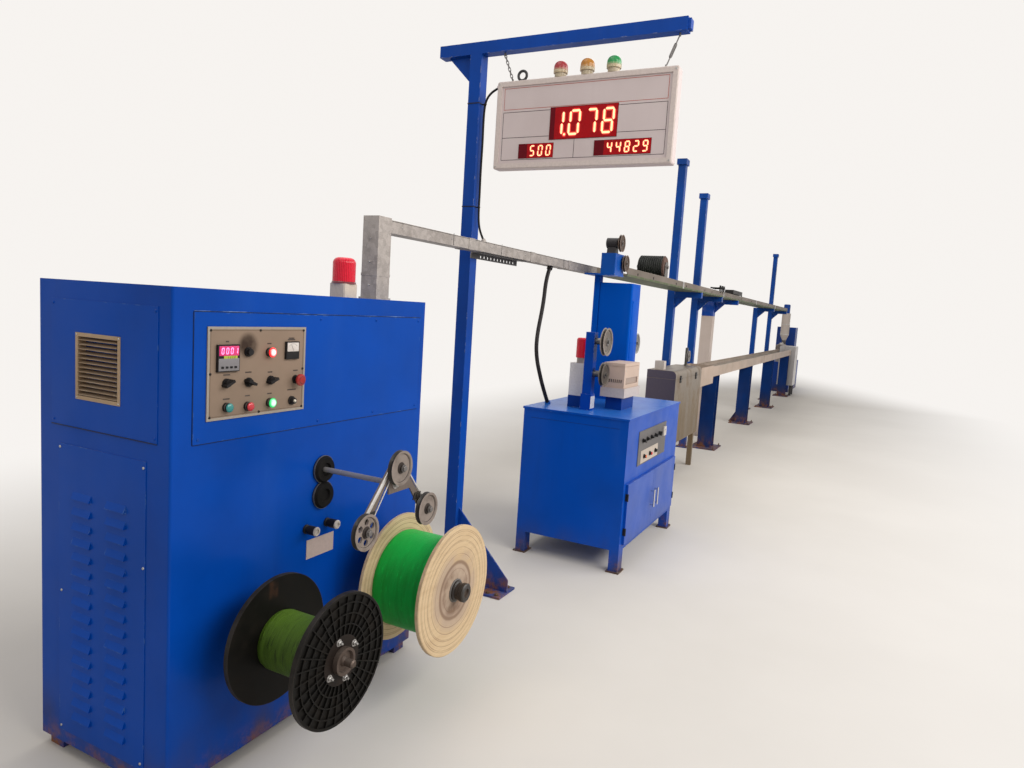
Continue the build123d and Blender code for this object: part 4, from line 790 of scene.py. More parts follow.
class Fitting:
    """A new piece, put together from bmesh shapes in the line's own frame."""

    def __init__(self, name: str, facing: Facing = Facing.AISLE) -> None:
        """Start an empty piece.

        Args:
            name: The piece's name.
            facing: Where its shapes' +Z goes, unless a shape has a facing of its own.
        """
        self.name = name
        self.facing = facing
        self.form = bmesh.new()

    def join(self, shape: bmesh.types.BMesh, foot: Spot, facing: Optional[Facing] = None) -> "Fitting":
        """Close a shape, stand it on its foot and join it on.

        Args:
            shape: The shape, standing on its own origin.
            foot: Where its origin goes.
            facing: Where its +Z goes.

        Returns:
            This piece.
        """
        bmesh.ops.remove_doubles(shape, verts=shape.verts, dist=1e-6)
        bmesh.ops.recalc_face_normals(shape, faces=shape.faces)
        turn = (facing or self.facing).value
        bmesh.ops.transform(shape, matrix=Matrix.Translation(Vector(foot)) @ turn, verts=shape.verts)
        scratch = bpy.data.meshes.new("scratch")
        shape.to_mesh(scratch)
        shape.free()
        self.form.from_mesh(scratch)
        bpy.data.meshes.remove(scratch)
        return self

    def plate(
        self, foot: Spot, size: Pair, thickness: float, rounding: float = 0.001, corner: float = 0.0,
        lean: float = 0.0, facing: Optional[Facing] = None,
    ) -> "Fitting":
        """Add a flat plate on its foot, with rounded corners and softened edges.

        Args:
            foot: The middle of its back.
            size: Its width and height in its own X and Y.
            thickness: How far it stands out.
            rounding: The bevel of its face's edges.
            corner: The radius of its four corners.
            lean: How far its face leans along its own X, over its height in Y.
            facing: The way its face looks.

        Returns:
            This piece.
        """
        shape, upright = block(*size, thickness)
        if corner > 0:
            soften(shape, upright, corner, 4)
        if rounding > 0:
            rim = [e for e in shape.edges if all(v.co.z > thickness * 0.9 for v in e.verts)]
            soften(shape, rim, min(rounding, thickness * 0.45), 2)
        if lean:
            for vertex in shape.verts:
                vertex.co.x += lean * vertex.co.y
        return self.join(shape, foot, facing)

    def frame(self, foot: Spot, size: Pair, width: float, thickness: float) -> "Fitting":
        """Add a flat frame round an opening.

        Args:
            foot: The middle of its back.
            size: Its outer width and height in its own X and Y.
            width: The width of its sides.
            thickness: How far it stands out.

        Returns:
            This piece.
        """
        shape = bmesh.new()
        bmesh.ops.create_grid(shape, x_segments=1, y_segments=1, size=0.5)
        bmesh.ops.scale(shape, vec=(size[0], size[1], 1), verts=shape.verts)
        middle = shape.faces[:]
        bmesh.ops.inset_region(shape, faces=middle, use_boundary=True, thickness=width, use_even_offset=True)
        bmesh.ops.delete(shape, geom=middle, context="FACES")
        raised = bmesh.ops.extrude_face_region(shape, geom=shape.faces[:], use_keep_orig=True)["geom"]
        bmesh.ops.translate(
            shape, vec=(0, 0, thickness), verts=[v for v in raised if isinstance(v, bmesh.types.BMVert)]
        )
        return self.join(shape, foot)

    def turned(
        self, foot: Spot, profile: Profile, steps: int = 24, facing: Optional[Facing] = None
    ) -> "Fitting":
        """Add a turned shape.

        Args:
            foot: The origin of its axis.
            profile: Its section, as radius and height.
            steps: Its faces round the axis.
            facing: The way its axis points.

        Returns:
            This piece.
        """
        shape = bmesh.new()
        points = [shape.verts.new((radius, 0, height)) for radius, height in profile]
        lines = [shape.edges.new(pair) for pair in zip(points, points[1:])]
        bmesh.ops.spin(
            shape, geom=points + lines, cent=(0, 0, 0), axis=(0, 0, 1), angle=2 * math.pi, steps=steps,
            use_merge=True, use_duplicate=False,
        )
        return self.join(shape, foot, facing)

    def rod(
        self, foot: Spot, radius: float, height: float, steps: int = 12, facing: Optional[Facing] = None
    ) -> "Fitting":
        """Add a plain round rod or disc."""
        return self.turned(foot, ((0, 0), (radius, 0), (radius, height), (0, height)), steps, facing)

    def ring(self, foot: Spot, inner: float, outer: float, height: float, steps: int) -> "Fitting":
        """Add a plain ring."""
        return self.turned(foot, ((inner, 0), (outer, 0), (outer, height), (inner, height), (inner, 0)), steps)

    def hexagon(self, foot: Spot, radius: float, height: float) -> "Fitting":
        """Add a hexagon bolt head on a washer.

        Args:
            foot: The middle of the washer's back.
            radius: The head's radius over its corners.
            height: The head's height over the washer.

        Returns:
            This piece.
        """
        washer = height * 0.25
        self.rod(foot, radius * 1.35, washer, 20)
        shape = bmesh.new()
        bmesh.ops.create_cone(shape, cap_ends=True, segments=6, radius1=radius, radius2=radius, depth=height)
        bmesh.ops.translate(shape, vec=(0, 0, washer + height / 2), verts=shape.verts)
        rim = [e for e in shape.edges if all(v.co.z > washer + height * 0.9 for v in e.verts)]
        soften(shape, rim, height * 0.18, 1)
        return self.join(shape, foot)

    def screw(self, foot: Spot, radius: float, facing: Optional[Facing] = None) -> "Fitting":
        """Add a pan-head screw with a socket.

        Args:
            foot: The middle of the head's back.
            radius: The head's radius.
            facing: The way the head looks.

        Returns:
            This piece.
        """
        rise = radius * 0.62
        section = (
            (0, 0), (radius, 0), (radius, rise * 0.4), (radius * 0.82, rise * 0.85), (radius * 0.5, rise),
            (radius * 0.36, rise), (radius * 0.3, rise * 0.35), (0, rise * 0.35),
        )
        return self.turned(foot, section, 12, facing)

    def finish(self, finish: Finish, slot: str, body: str = ROOT) -> None:
        """Make the object, dress it and let it ride a body.

        Args:
            finish: Its finish.
            slot: Not used.
            body: The body that carries it.
        """
        mesh = bpy.data.meshes.new(self.name)
        self.form.to_mesh(mesh)
        self.form.free()
        mesh.materials.append(finish.material())
        piece = placed(self.name, mesh)
        smooth_by_angle(mesh)
        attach(piece, body)
        log.info("%s rides %s, %d faces", self.name, body, len(mesh.polygons))


def smooth_by_angle(mesh: bpy.types.Mesh, limit: float = math.radians(32)) -> None:
    """Smooth a mesh except over its sharp edges.

    Args:
        mesh: The mesh.
        limit: The angle over which an edge stays sharp.
    """
    shape = bmesh.new()
    shape.from_mesh(mesh)
    for face in shape.faces:
        face.smooth = True
    for edge in shape.edges:
        edge.smooth = len(edge.link_faces) == 2 and edge.calc_face_angle() < limit
    shape.to_mesh(mesh)
    shape.free()


def paint(finish: Finish, *nodes: str) -> None:
    """Give CAD nodes a finish.

    Args:
        finish: The finish.
        *nodes: The nodes' names.
    """
    for node in nodes:
        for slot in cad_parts[node].material_slots:
            slot.material = finish.material()
        log.info("%s gets %s", node, finish.name)


STEEL_BARE = Metal("bright_steel", (0.52, 0.51, 0.50), roughness=0.28)
STEEL_ZINC = Metal("zinc_plate", (0.40, 0.39, 0.38), flakes=0.4, roughness=0.42, amount=0.4, grain=(1, 1, 1))
STEEL_CAST = Metal("cast_steel", (0.20, 0.19, 0.185), roughness=0.5, amount=0.6, grain=(1, 1, 1))
SPINDLE_BROWN = Metal(
    "spindle_steel", (0.13, 0.10, 0.085), stain=(0.05, 0.028, 0.016), roughness=0.5, amount=0.8, grain=(1, 1, 1)
)
STEEL_STAINLESS = Metal("stainless_sheet", (0.46, 0.44, 0.43), stain=(0.20, 0.155, 0.12), roughness=0.3, amount=0.55)
SCREW_BLACK = Metal("blackened_screws", (0.035, 0.033, 0.032), roughness=0.45, amount=0.3, grain=(1, 1, 1))
RUBBER = Moulded("black_rubber", (0.0065, 0.006, 0.006), dusty=(0.030, 0.026, 0.024), roughness=0.6, shine=0.08)
PLASTIC_BLACK = Moulded("black_plastic", (0.012, 0.011, 0.012), dusty=(0.06, 0.052, 0.048), roughness=0.38)
PLASTIC_GREY = Moulded("grey_plastic", (0.20, 0.19, 0.20), roughness=0.4)
PLASTIC_WHITE = Moulded("white_plastic", (0.62, 0.57, 0.54), dusty=(0.34, 0.28, 0.23), roughness=0.4)
CORD_SKIN = Moulded("cord_sheath", (0.009, 0.008, 0.009), dusty=(0.045, 0.04, 0.038), roughness=0.55, grain=900.0)


class Segments(Enum):
    """The lit bars of each digit that shows."""

    ZERO = "abcdef"
    ONE = "bc"
    TWO = "abged"
    FOUR = "fgbc"
    FIVE = "afgcd"
    SEVEN = "abc"
    EIGHT = "abcdefg"
    NINE = "abcdfg"


@dataclass
class NumberDisplay:
    """A row of seven-segment digits behind a dark window.

    Args:
        name: The piece's name.
        figures: The digits, with a point after a digit where it is None.
        right: The foot of the last digit's middle, on the window.
        facing: Where the display looks.
        height: The digits' height.
        pitch: From one digit to the next.
        along: The reading direction.
        up: The digits' upward direction.
        lit: The finish of the lit bars.
        stroke: A bar's width as a share of the height.
        depth: How far the bars stand out.
        slant: How far the digits lean.
    """

    name: str
    figures: Sequence[Optional[Segments]]
    right: Place
    facing: Facing
    height: float
    pitch: float
    along: Vector
    up: Vector
    lit: Finish
    stroke: float = 0.13
    depth: float = 0.0006
    slant: float = 0.12

    def bar(self, piece: Fitting, middle: Vector, across: bool) -> None:
        """Add one bar with pointed ends.

        Args:
            piece: The digits.
            middle: The bar's middle.
            across: Whether it lies across, and doesn't stand upright.
        """
        width = self.height * self.stroke
        long = self.height * ((0.34 if across else 0.40) + self.stroke * 0.3)
        direction = self.facing.value.inverted().to_3x3() @ (self.along if across else self.up)
        size = (long, width) if abs(direction.x) > 0.5 else (width, long)
        shape, posts = block(*size, self.depth)
        soften(shape, posts, width * 0.42, 1)
        piece.join(shape, middle)

    def build(self) -> None:
        """Build the lit digits as one piece."""
        piece = Fitting(self.name, self.facing)
        half = self.height * 0.47
        side = self.height * 0.205
        spots = {
            "a": (0, half, True), "g": (0, 0, True), "d": (0, -half, True), "f": (-side, half / 2, False),
            "b": (side, half / 2, False), "e": (-side, -half / 2, False), "c": (side, -half / 2, False),
        }
        foot = Vector(self.right)
        for figure in reversed(self.figures):
            if figure is None:
                spot = foot + self.along * (self.pitch * 0.42) - self.up * half
                radius = self.height * self.stroke * 0.55
                piece.rod(spot, radius, self.depth)
                continue
            for letter in figure.value:
                along, up, across = spots[letter]
                middle = foot + self.along * (along + up * self.slant) + self.up * up
                self.bar(piece, middle, across)
            foot -= self.along * self.pitch
        piece.finish(self.lit, "lamp_red")


@dataclass
class Cords:
    """The black cable from the board down to the trunking, and the black hose from there to the desk."""

    cable_width: float = 0.012
    hose_width: float = 0.026
    cable_route: Profile = (
        (-0.170, 2.7640), (-0.145, 2.7534), (-0.117, 2.7330), (-0.098, 2.7021), (-0.091, 2.6548), (-0.090, 2.5847),
        (-0.092, 2.4788), (-0.090, 2.3402), (-0.092, 2.2098), (-0.092, 2.1120), (-0.096, 2.0550), (-0.109, 2.0028),
        (-0.131, 1.9637),
    )
    hose_route: tuple[Place, ...] = (
        (2.373, -0.1259, 1.8746), (2.321, -0.1293, 1.8055), (2.290, -0.1373, 1.6406), (2.193, -0.1481, 1.4205),
        (2.197, -0.1545, 1.2897), (2.268, -0.1610, 1.1553), (2.330, -0.1657, 1.0604), (2.389, -0.1695, 0.9831),
    )

    def lay(self, name: str, route: Sequence[Place], width: float, finish: Finish) -> bpy.types.Object:
        """Lay one cord along its route.

        Args:
            name: The cord's name.
            route: The points that its line follows.
            width: Its diameter.
            finish: Its finish.

        Returns:
            The cord as a curve.
        """
        curve = bpy.data.curves.new(name, "CURVE")
        curve.dimensions = "3D"
        curve.bevel_depth = width / 2
        curve.bevel_resolution = 5
        curve.resolution_u = 10
        curve.use_fill_caps = True
        line = curve.splines.new("NURBS")
        line.points.add(len(route) - 1)
        for point, place in zip(line.points, route):
            point.co = (*place, 1.0)
        line.order_u = 3
        line.use_endpoint_u = True
        curve.materials.append(finish.material())
        piece = placed(name, curve)
        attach(piece, ROOT)
        log.info("%s laid", name)
        return piece

    def build(self) -> None:
        """Lay both cords and hide the model's cable and hose."""
        route = [(POST_X, y, z) for y, z in self.cable_route]
        cable = self.lay("display_cord", route, self.cable_width, CORD_SKIN)
        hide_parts("display_cable")
        sheath = Moulded("hose_sheath", (0.022, 0.019, 0.020), dusty=(0.06, 0.052, 0.05), roughness=0.5, grain=700.0)
        hose = self.lay("desk_cord", self.hose_route, self.hose_width, sheath)
        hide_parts("desk_hose")


@dataclass
class TakeupCabinet:
    """The take-up's cabinet: paint, vent, fasteners, boots, push knobs, beacon, painted seam shadows and painted lip
    highlights.
    """

    seam: float = 0.0025
    base_height: float = 0.052
    boot_radius: float = 0.051
    label_top: float = 0.702
    vent_inset: float = 0.006
    pin_radius: float = 0.003
    end_screws: tuple[Spot, Spot] = ((-0.252, 0.239), (1.15, 1.526))
    front_screws: tuple[Spot, Spot] = ((-0.55, -0.03, 0.29, 0.585), (1.145, 1.515))
    bare_corner: Pair = (-0.55, 1.515)
    door_screws: Profile = (
        (0.205, 1.062), (-0.205, 1.055), (0.204, 0.105), (-0.2, 0.11), (-0.207, 0.745), (0.2, 0.58),
    )
    cover_x: float = 0.0175
    cover_width: float = 1.171
    seam_depth: float = 0.0015
    seam_heights: Pair = (1.1285, 1.5315)
    lip_heights: Pair = (1.5335, 1.1305)
    front_seam: Spot = (-0.5695, 1.33, 0.402)
    end_seam: Spot = (-0.0065, 1.1345, 0.513)

    blue: Finish = Enamel(
        "cabinet_enamel", (0.0, 0.057, 0.37), (0.0, 0.043, 0.28), chip=(0.07, 0.16, 0.38), grime=0.30, rust=0.75,
        wear=0.5, shine=0.07,
    )
    panel_blue: Finish = Enamel(
        "cover_enamel", (0.0, 0.059, 0.38), (0.0, 0.049, 0.31), chip=(0.07, 0.16, 0.38), grime=0.12, rust=0.3,
        wear=0.35, shine=0.07,
    )
    beige: Finish = Enamel(
        "vent_enamel", (0.44, 0.32, 0.21), (0.30, 0.21, 0.13), chip=(0.48, 0.38, 0.28), roughness=0.5, coat=0.0,
    )

    def dress(self) -> None:
        """Paint the cabinet's nodes."""
        paint(self.blue, "takeup_cabinet")
        paint(self.panel_blue, "takeup_panels")
        paint(self.beige, "takeup_vent_grille")
        paint(RUBBER, "traverse_boots")
        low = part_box("takeup_push_knobs")[0]
        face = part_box("takeup_cabinet")[0].y
        label = Zone((0.50, 0.40, 0.37), y=above(face - 0.004), z=below(self.label_top), roughness=0.5)
        cap = Zone((0.55, 0.50, 0.46), y=below(low.y + 0.006), roughness=0.4, patchy=0.6)
        paint(Zoned("push_knob_plastic", PLASTIC_BLACK, (label, cap)), "takeup_push_knobs")
        low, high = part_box("takeup_beacon")
        middle = (low + high) / 2
        # The dome's second colour is its painted highlight on the prisms and crown.
        dome = RibbedDome("beacon_red", tuple(middle), (0.42, 0.0, 0.012), (0.80, 0.015, 0.05))
        base = Zone((0.58, 0.50, 0.42), z=below(low.z + self.base_height))
        paint(Zoned("beacon_plastic", dome, (base,)), "takeup_beacon")

    def build(self) -> None:
        """Dress the cabinet and add its fasteners, its painted seam shadows and its painted lip highlights."""
        self.dress()
        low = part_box("takeup_panels")[0]
        face = low.x + 0.009
        screws = Fitting("cover_screws", Facing.TAKEUP)
        for y in self.end_screws[0]:
            for z in self.end_screws[1]:
                screws.screw((face, y, z), SCREW_RADIUS)
        aisle = low.y
        for x in self.front_screws[0]:
            for z in self.front_screws[1]:
                if (x, z) != self.bare_corner:
                    screws.screw((x, aisle, z), SCREW_RADIUS, facing=Facing.AISLE)
        screws.finish(self.panel_blue, "cabinet_blue")
        pale = Fitting("door_screws", Facing.TAKEUP)
        for y, z in self.door_screws:
            pale.screw((face, y, z), SCREW_RADIUS)
        pale.finish(STEEL_ZINC, "zinc_grey")
        # Dark strips along the covers' seams: painted shadow in the gaps.
        gap = Fitting("cover_seams")
        for z in self.seam_heights:
            gap.plate((self.cover_x, aisle + 0.002, z), (self.cover_width, self.seam), self.seam_depth, 0.0)
        x, z, long = self.front_seam
        gap.plate((x, aisle + 0.002, z), (self.seam, long), self.seam_depth, 0.0)
        y, z, long = self.end_seam
        gap.plate((face, y, z), (self.seam * 1.2, long), self.seam_depth, 0.0, facing=Facing.TAKEUP)
        # Pale blue lines beside the seams: a painted highlight on the covers' lips.
        lip = Fitting("cover_lips")
        for z in self.lip_heights:
            lip.plate((self.cover_x, aisle + 0.002, z), (self.cover_width, 0.0013), 0.0019, 0.0)
        lip.finish(
            Moulded("lip_highlight", (0.004, 0.05, 0.26), dusty=(0.30, 0.44, 0.66), dust=1.0, roughness=0.3), "cabinet_blue",
        )
        gap.finish(Moulded("cover_seam_shadow", (0.004, 0.010, 0.045), dusty=(0.02, 0.05, 0.14)), "cabinet_blue")
        vent_low, vent_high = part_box("takeup_vent_grille")
        pins = Fitting("vent_screws", Facing.TAKEUP)
        for y in (vent_low.y + self.vent_inset, vent_high.y - self.vent_inset):
            for z in (vent_low.z + self.vent_inset, vent_high.z - self.vent_inset):
                pins.screw((vent_low.x, y, z), self.pin_radius)
        pins.finish(STEEL_ZINC, "zinc_grey")
        boot_low, boot_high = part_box("traverse_boots")
        clips = Fitting("boot_clips")
        x = (boot_low.x + boot_high.x) / 2
        for z in (boot_high.z - self.boot_radius, boot_low.z + self.boot_radius):
            inner, outer = self.boot_radius - 0.0005, self.boot_radius + 0.0012
            clips.ring((x, boot_high.y - 0.004, z), inner, outer, 0.006, 40)
        clips.finish(STEEL_CAST, "cast_steel")
        crown = Fitting("beacon_collar", Facing.UP)
        low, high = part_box("takeup_beacon")
        middle = (low + high) / 2
        seat = low.z + self.base_height
        crown.turned(
            (middle.x, middle.y, seat),
            ((0.0438, 0), (0.0465, 0), (0.0465, 0.006), (0.0452, 0.008), (0.0442, 0.008)), 40,
        )
        for x, y in corners(middle.x, middle.y, 0.032, 0.032):
            crown.screw((x, y, seat), self.pin_radius)
        crown.finish(Lens("beacon_rim", (0.14, 0.0, 0.006), roughness=0.4), "lamp_red")


@dataclass
class OperatingPanel:
    """The take-up's operating panel: face plate, displays, lamps, buttons, meter and bare legend strips."""

    border: float = 0.011
    line: float = 0.0012
    lamp_radius: float = 0.0160
    cap_radius: float = 0.0142
    button_depth: float = 0.016
    instrument_depth: float = 0.009
    controller: Pair = (74.0, 97.0)
    controller_side: float = 0.084
    meter: Pair = (346.0, 79.0)
    meter_side: float = 0.060
    red_lamp: Pair = (246.0, 83.0)
    green_lamp: Pair = (252.0, 252.0)
    teal_button: Pair = (74.0, 252.0)
    red_button: Pair = (158.0, 256.0)
    dial_pointer: Pair = (353.0, 254.0)
    stop_button: Pair = (369.0, 181.0)
    legends: tuple[Place, ...] = (
        (74, 46, 12), (246, 55, 18), (346, 38, 26), (346, 43, 34), (74, 150, 26), (160, 146, 26), (252, 150, 20),
        (369, 150, 22), (74, 226, 26), (158, 222, 20), (252, 222, 20), (353, 216, 40),
    )

    def at(self, right: float, down: float) -> Pair:
        """Turn a place on the panel, in mm from its near top corner, into X and Z."""
        low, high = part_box("takeup_control_panel")
        return low.x + right / 1000, high.z - down / 1000

    def build(self) -> None:
        """Dress the panel and add what shows on it."""
        low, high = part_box("takeup_control_panel")
        face = low.y + 0.001
        middle = (low + high) / 2
        plate = Enamel(
            "panel_face", (0.27, 0.195, 0.145), (0.21, 0.155, 0.115), chip=(0.34, 0.27, 0.21), roughness=0.42,
            coat=0.1, wear=0.2,
        )
        rim = Zone((0.34, 0.30, 0.26), y=below(low.y + 0.0006), roughness=0.4, metal=0.3)
        soot_at = (low.x + 0.157, 0.0, high.z - 0.060)
        soot = Zone((0.040, 0.024, 0.017), axis=soot_at, ring=below(0.036), patchy=0.45, roughness=0.6, soft=0.014)
        paint(Zoned("panel_plate", plate, (rim, soot)), "takeup_control_panel")
        paint(PLASTIC_BLACK, "takeup_controls")
        size = (high.x - low.x, high.z - low.z)
        inner = Fitting("panel_line").frame(
            (middle.x, face, middle.z), (size[0] - 2 * self.border, size[1] - 2 * self.border), self.line, 0.0003,
        )
        inner.finish(Moulded("line_ink", (0.10, 0.070, 0.050)), "dark_plastic")
        screws = Fitting("panel_screws")
        for x in (low.x + self.border, middle.x, high.x - self.border):
            for z in (low.z + self.border, middle.z, high.z - self.border):
                if (x, z) != (middle.x, middle.z):
                    screws.screw((x, face, z), SCREW_RADIUS)
        screws.finish(SCREW_BLACK, "dark_plastic")
        legends = Fitting("panel_legends")
        for right, down, long in self.legends:
            x, z = self.at(right, down)
            legends.plate((x, face, z), (long / 1000, 0.0042), 0.0003, 0.0)
        legends.finish(Moulded("legend_ink", (0.055, 0.040, 0.035), dust=0.6), "dark_plastic")
        self.add_lenses(face)
        self.add_instruments(face)

    def add_lenses(self, face: float) -> None:
        """Add lamp lenses and button caps.

        Args:
            face: The panel face's Y.
        """
        lamps = (
            ("red_lamp", self.red_lamp, (0.95, 0.006, 0.010), (1.0, 0.80, 0.78), 1.5),
            ("green_lamp", self.green_lamp, (0.006, 0.42, 0.10), (0.78, 1.0, 0.86), 1.2),
        )
        caps = (
            ("teal_button", self.teal_button, (0.004, 0.21, 0.20), self.cap_radius),
            ("red_button", self.red_button, (0.52, 0.004, 0.016), self.cap_radius),
            ("dial_pointer", self.dial_pointer, (0.58, 0.52, 0.42), self.cap_radius * 0.4),
        )
        for name, place, colour, core, glow in lamps:
            x, z = self.at(*place)
            lit = Lens(name, colour, core, glow, centre=(x, 0.0, z), reach=self.lamp_radius * 0.9)
            self.add_dome(name + "_lens", (x, face - self.button_depth, z), self.lamp_radius, lit)
        for name, place, colour, radius in caps:
            x, z = self.at(*place)
            plain = Lens(name, colour, roughness=0.35)
            self.add_dome(name + "_cap", (x, face - self.button_depth, z), radius, plain)
        collars = Fitting("lamp_collars")
        for place in (self.red_lamp, self.green_lamp, self.red_button, self.teal_button):
            x, z = self.at(*place)
            collars.turned(
                (x, face - self.button_depth * 0.35, z),
                ((0.0116, 0), (0.0146, 0), (0.0146, 0.003), (0.0135, 0.0045), (0.0116, 0.0045), (0.0116, 0)), 32,
            )
        collars.finish(Metal("collar_metal", (0.10, 0.085, 0.08), roughness=0.4), "zinc_grey")
        x, z = self.at(*self.stop_button)
        mushroom = Fitting("stop_button_cap").turned(
            (x, face - 0.0228, z),
            ((0, 0), (0.0202, 0), (0.0206, 0.003), (0.0204, 0.0065), (0.0165, 0.0098), (0.009, 0.0118), (0, 0.0122)),
            36,
        )
        mushroom.finish(Moulded("stop_red", (0.30, 0.022, 0.022), dusty=(0.34, 0.12, 0.10), dust=0.8), "lamp_red")

    def add_dome(self, name: str, foot: Place, radius: float, finish: Finish) -> None:
        """Add a domed lens or cap.

        Args:
            name: The piece's name.
            foot: The middle of its back.
            radius: Its radius.
            finish: Its finish.
        """
        dome = ((0, 0), (radius, 0), (radius, 0.0015), (radius * 0.86, 0.0040), (radius * 0.55, 0.0056), (0, 0.0062))
        Fitting(name).turned(foot, dome, 32).finish(finish, "lamp_red")

    def add_instruments(self, face: float) -> None:
        """Add the controller's displays and keys, and the meter's face.

        Args:
            face: The panel face's Y.
        """
        front = face - self.instrument_depth
        x, z = self.at(*self.controller)
        side = self.controller_side
        glass = front - 0.0012
        reading, up = Vector((1, 0, 0)), Vector((0, 0, 1))
        Fitting("controller_front").plate(
            (x, front, z - side * 0.24), (side * 0.94, side * 0.46), 0.0010, 0.0004,
        ).finish(PLASTIC_GREY, "dark_plastic")
        Fitting("controller_window").plate(
            (x, front, z + side * 0.27), (side * 0.90, side * 0.36), 0.0012, 0.0005,
        ).finish(Lens("magenta_window", (0.22, 0.0, 0.05), (0.70, 0.004, 0.14), 0.8), "lamp_red")
        Fitting("controller_row").plate(
            (x + 0.006, front, z + side * 0.035), (side * 0.62, side * 0.10), 0.0012, 0.0004,
        ).finish(Lens("row_window", (0.20, 0.22, 0.01), (0.55, 0.62, 0.03), 0.45), "lamp_red")
        NumberDisplay(
            "controller_figure", (Segments.ZERO, Segments.ZERO, Segments.ZERO, Segments.ONE),
            (x + side * 0.33, glass, z + side * 0.27), Facing.AISLE, 0.019, 0.0175, reading, up,
            Lens("pink_bar", (1.0, 0.10, 0.42), (1.0, 0.45, 0.70), 1.1), 0.16,
        ).build()
        NumberDisplay(
            "controller_set_figures", (Segments.FIVE, Segments.ZERO, Segments.ZERO, Segments.ZERO),
            (x + 0.006 + side * 0.18, glass, z + side * 0.035), Facing.AISLE, 0.0064, 0.0082, reading, up,
            Lens("lime_bar", (0.10, 0.14, 0.01)), 0.14,
        ).build()
        keys = Fitting("controller_keys")
        for n in range(4):
            keys.plate(
                (x + side * (-0.30 + 0.2 * n), front - 0.0010, z - side * 0.34),
                (side * 0.12, side * 0.08), 0.0012, 0.0004, 0.0015,
            )
        keys.finish(PLASTIC_BLACK, "dark_plastic")
        x, z = self.at(*self.meter)
        side = self.meter_side
        Fitting("meter_dial").plate(
            (x, front, z + side * 0.19), (side * 0.88, side * 0.50), 0.0008, 0.0003, 0.002,
        ).finish(PLASTIC_WHITE, "box_white")
        marks = Fitting("meter_marks")
        for n in range(-4, 5):
            turn = math.radians(90 - 11 * n)
            out = side * 0.40
            marks.plate(
                (x + out * math.cos(turn), front - 0.0008, z - side * 0.02 + out * math.sin(turn)),
                (0.0009, 0.0036), 0.0002, 0.0,
            )
        marks.plate(
            (x - side * 0.06, front - 0.0008, z + side * 0.15), (0.0009, side * 0.34), 0.0005, 0.0, lean=-0.45,
        )
        marks.finish(PLASTIC_BLACK, "dark_plastic")


@dataclass
class Reels:
    """The black and the plywood reel on their spindles, with the wire on them."""

    bolt_ring: float = 0.066
    bolt_turns: Spot = (32.0, 105.0, 212.0, 285.0)
    bolt_radius: float = 0.0085
    bolt_height: float = 0.007

    def build(self) -> None:
        """Dress both reels and bolt the black one's hub."""
        paint(STEEL_CAST, "spindle_bearings")
        low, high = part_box("black_reel")
        axis = tuple((low + high) / 2)
        black = Moulded(
            "reel_plastic", (0.0055, 0.005, 0.0045), dusty=(0.020, 0.015, 0.011), roughness=0.45, dust=0.4, shine=0.10,
        )
        hub = Zone((0.016, 0.011, 0.009), y=below(low.y + 0.02), axis=axis, ring=below(0.079), patchy=0.6)
        # Lighter patchy ring on the flange's rim: a painted highlight.
        worn = Zone((0.030, 0.026, 0.023), axis=axis, ring=above(0.2105), roughness=0.5, patchy=0.9)
        patch = Zone(
            (0.055, 0.026, 0.015), x=(axis[0] - 0.048, axis[0] - 0.012), y=above(high.y - 0.03),
            z=(axis[2] + 0.146, axis[2] + 0.204), roughness=0.6, patchy=1.0, soft=0.006,
        )
        paint(Zoned("black_reel_plastic", black, (hub, worn, patch)), "black_reel")
        # The second colour is the painted shade between the turns.
        wire = WoundWire("dull_green_wire", (0.070, 0.140, 0.012), (0.010, 0.020, 0.003), 0.0034, 0.85)
        paint(wire, "black_winding")
        paint(SPINDLE_BROWN, "black_spindle")
        bolts = Fitting("hub_bolts")
        for turn in map(math.radians, self.bolt_turns):
            place = (axis[0] + self.bolt_ring * math.cos(turn), low.y, axis[2] + self.bolt_ring * math.sin(turn))
            bolts.hexagon(place, self.bolt_radius, self.bolt_height)
            bolts.turned(
                (place[0], place[1] - self.bolt_height, place[2]),
                ((0, 0), (0.0042, 0), (0.0042, 0.008), (0.0034, 0.0095), (0, 0.0095)), 12,
            )
        bolts.finish(STEEL_ZINC, "zinc_grey", "black_reel_set")
        low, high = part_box("pale_reel")
        axis = tuple((low + high) / 2)
        paint(TurnedWood("reel_plywood", axis, (high.x - low.x) / 2), "pale_reel")
        # The second colour is the painted shade between the turns.
        paint(WoundWire("bright_green_wire", (0.0, 0.36, 0.045), (0.0, 0.17, 0.014)), "pale_winding")
        collar = Zone((0.014, 0.010, 0.008), y=below(low.y), axis=axis, ring=(0.018, 0.041), roughness=0.4)
        paint(Zoned("pale_spindle_steel", SPINDLE_BROWN, (collar,)), "pale_spindle")
        nut = Fitting("pale_hub_nut").turned(
            (axis[0], low.y, axis[2]),
            ((0.0405, 0), (0.047, 0), (0.047, 0.003), (0.044, 0.0045), (0.0405, 0.0045), (0.0405, 0)), 40,
        )
        nut.finish(STEEL_CAST, "rust_brown", "pale_reel_set")


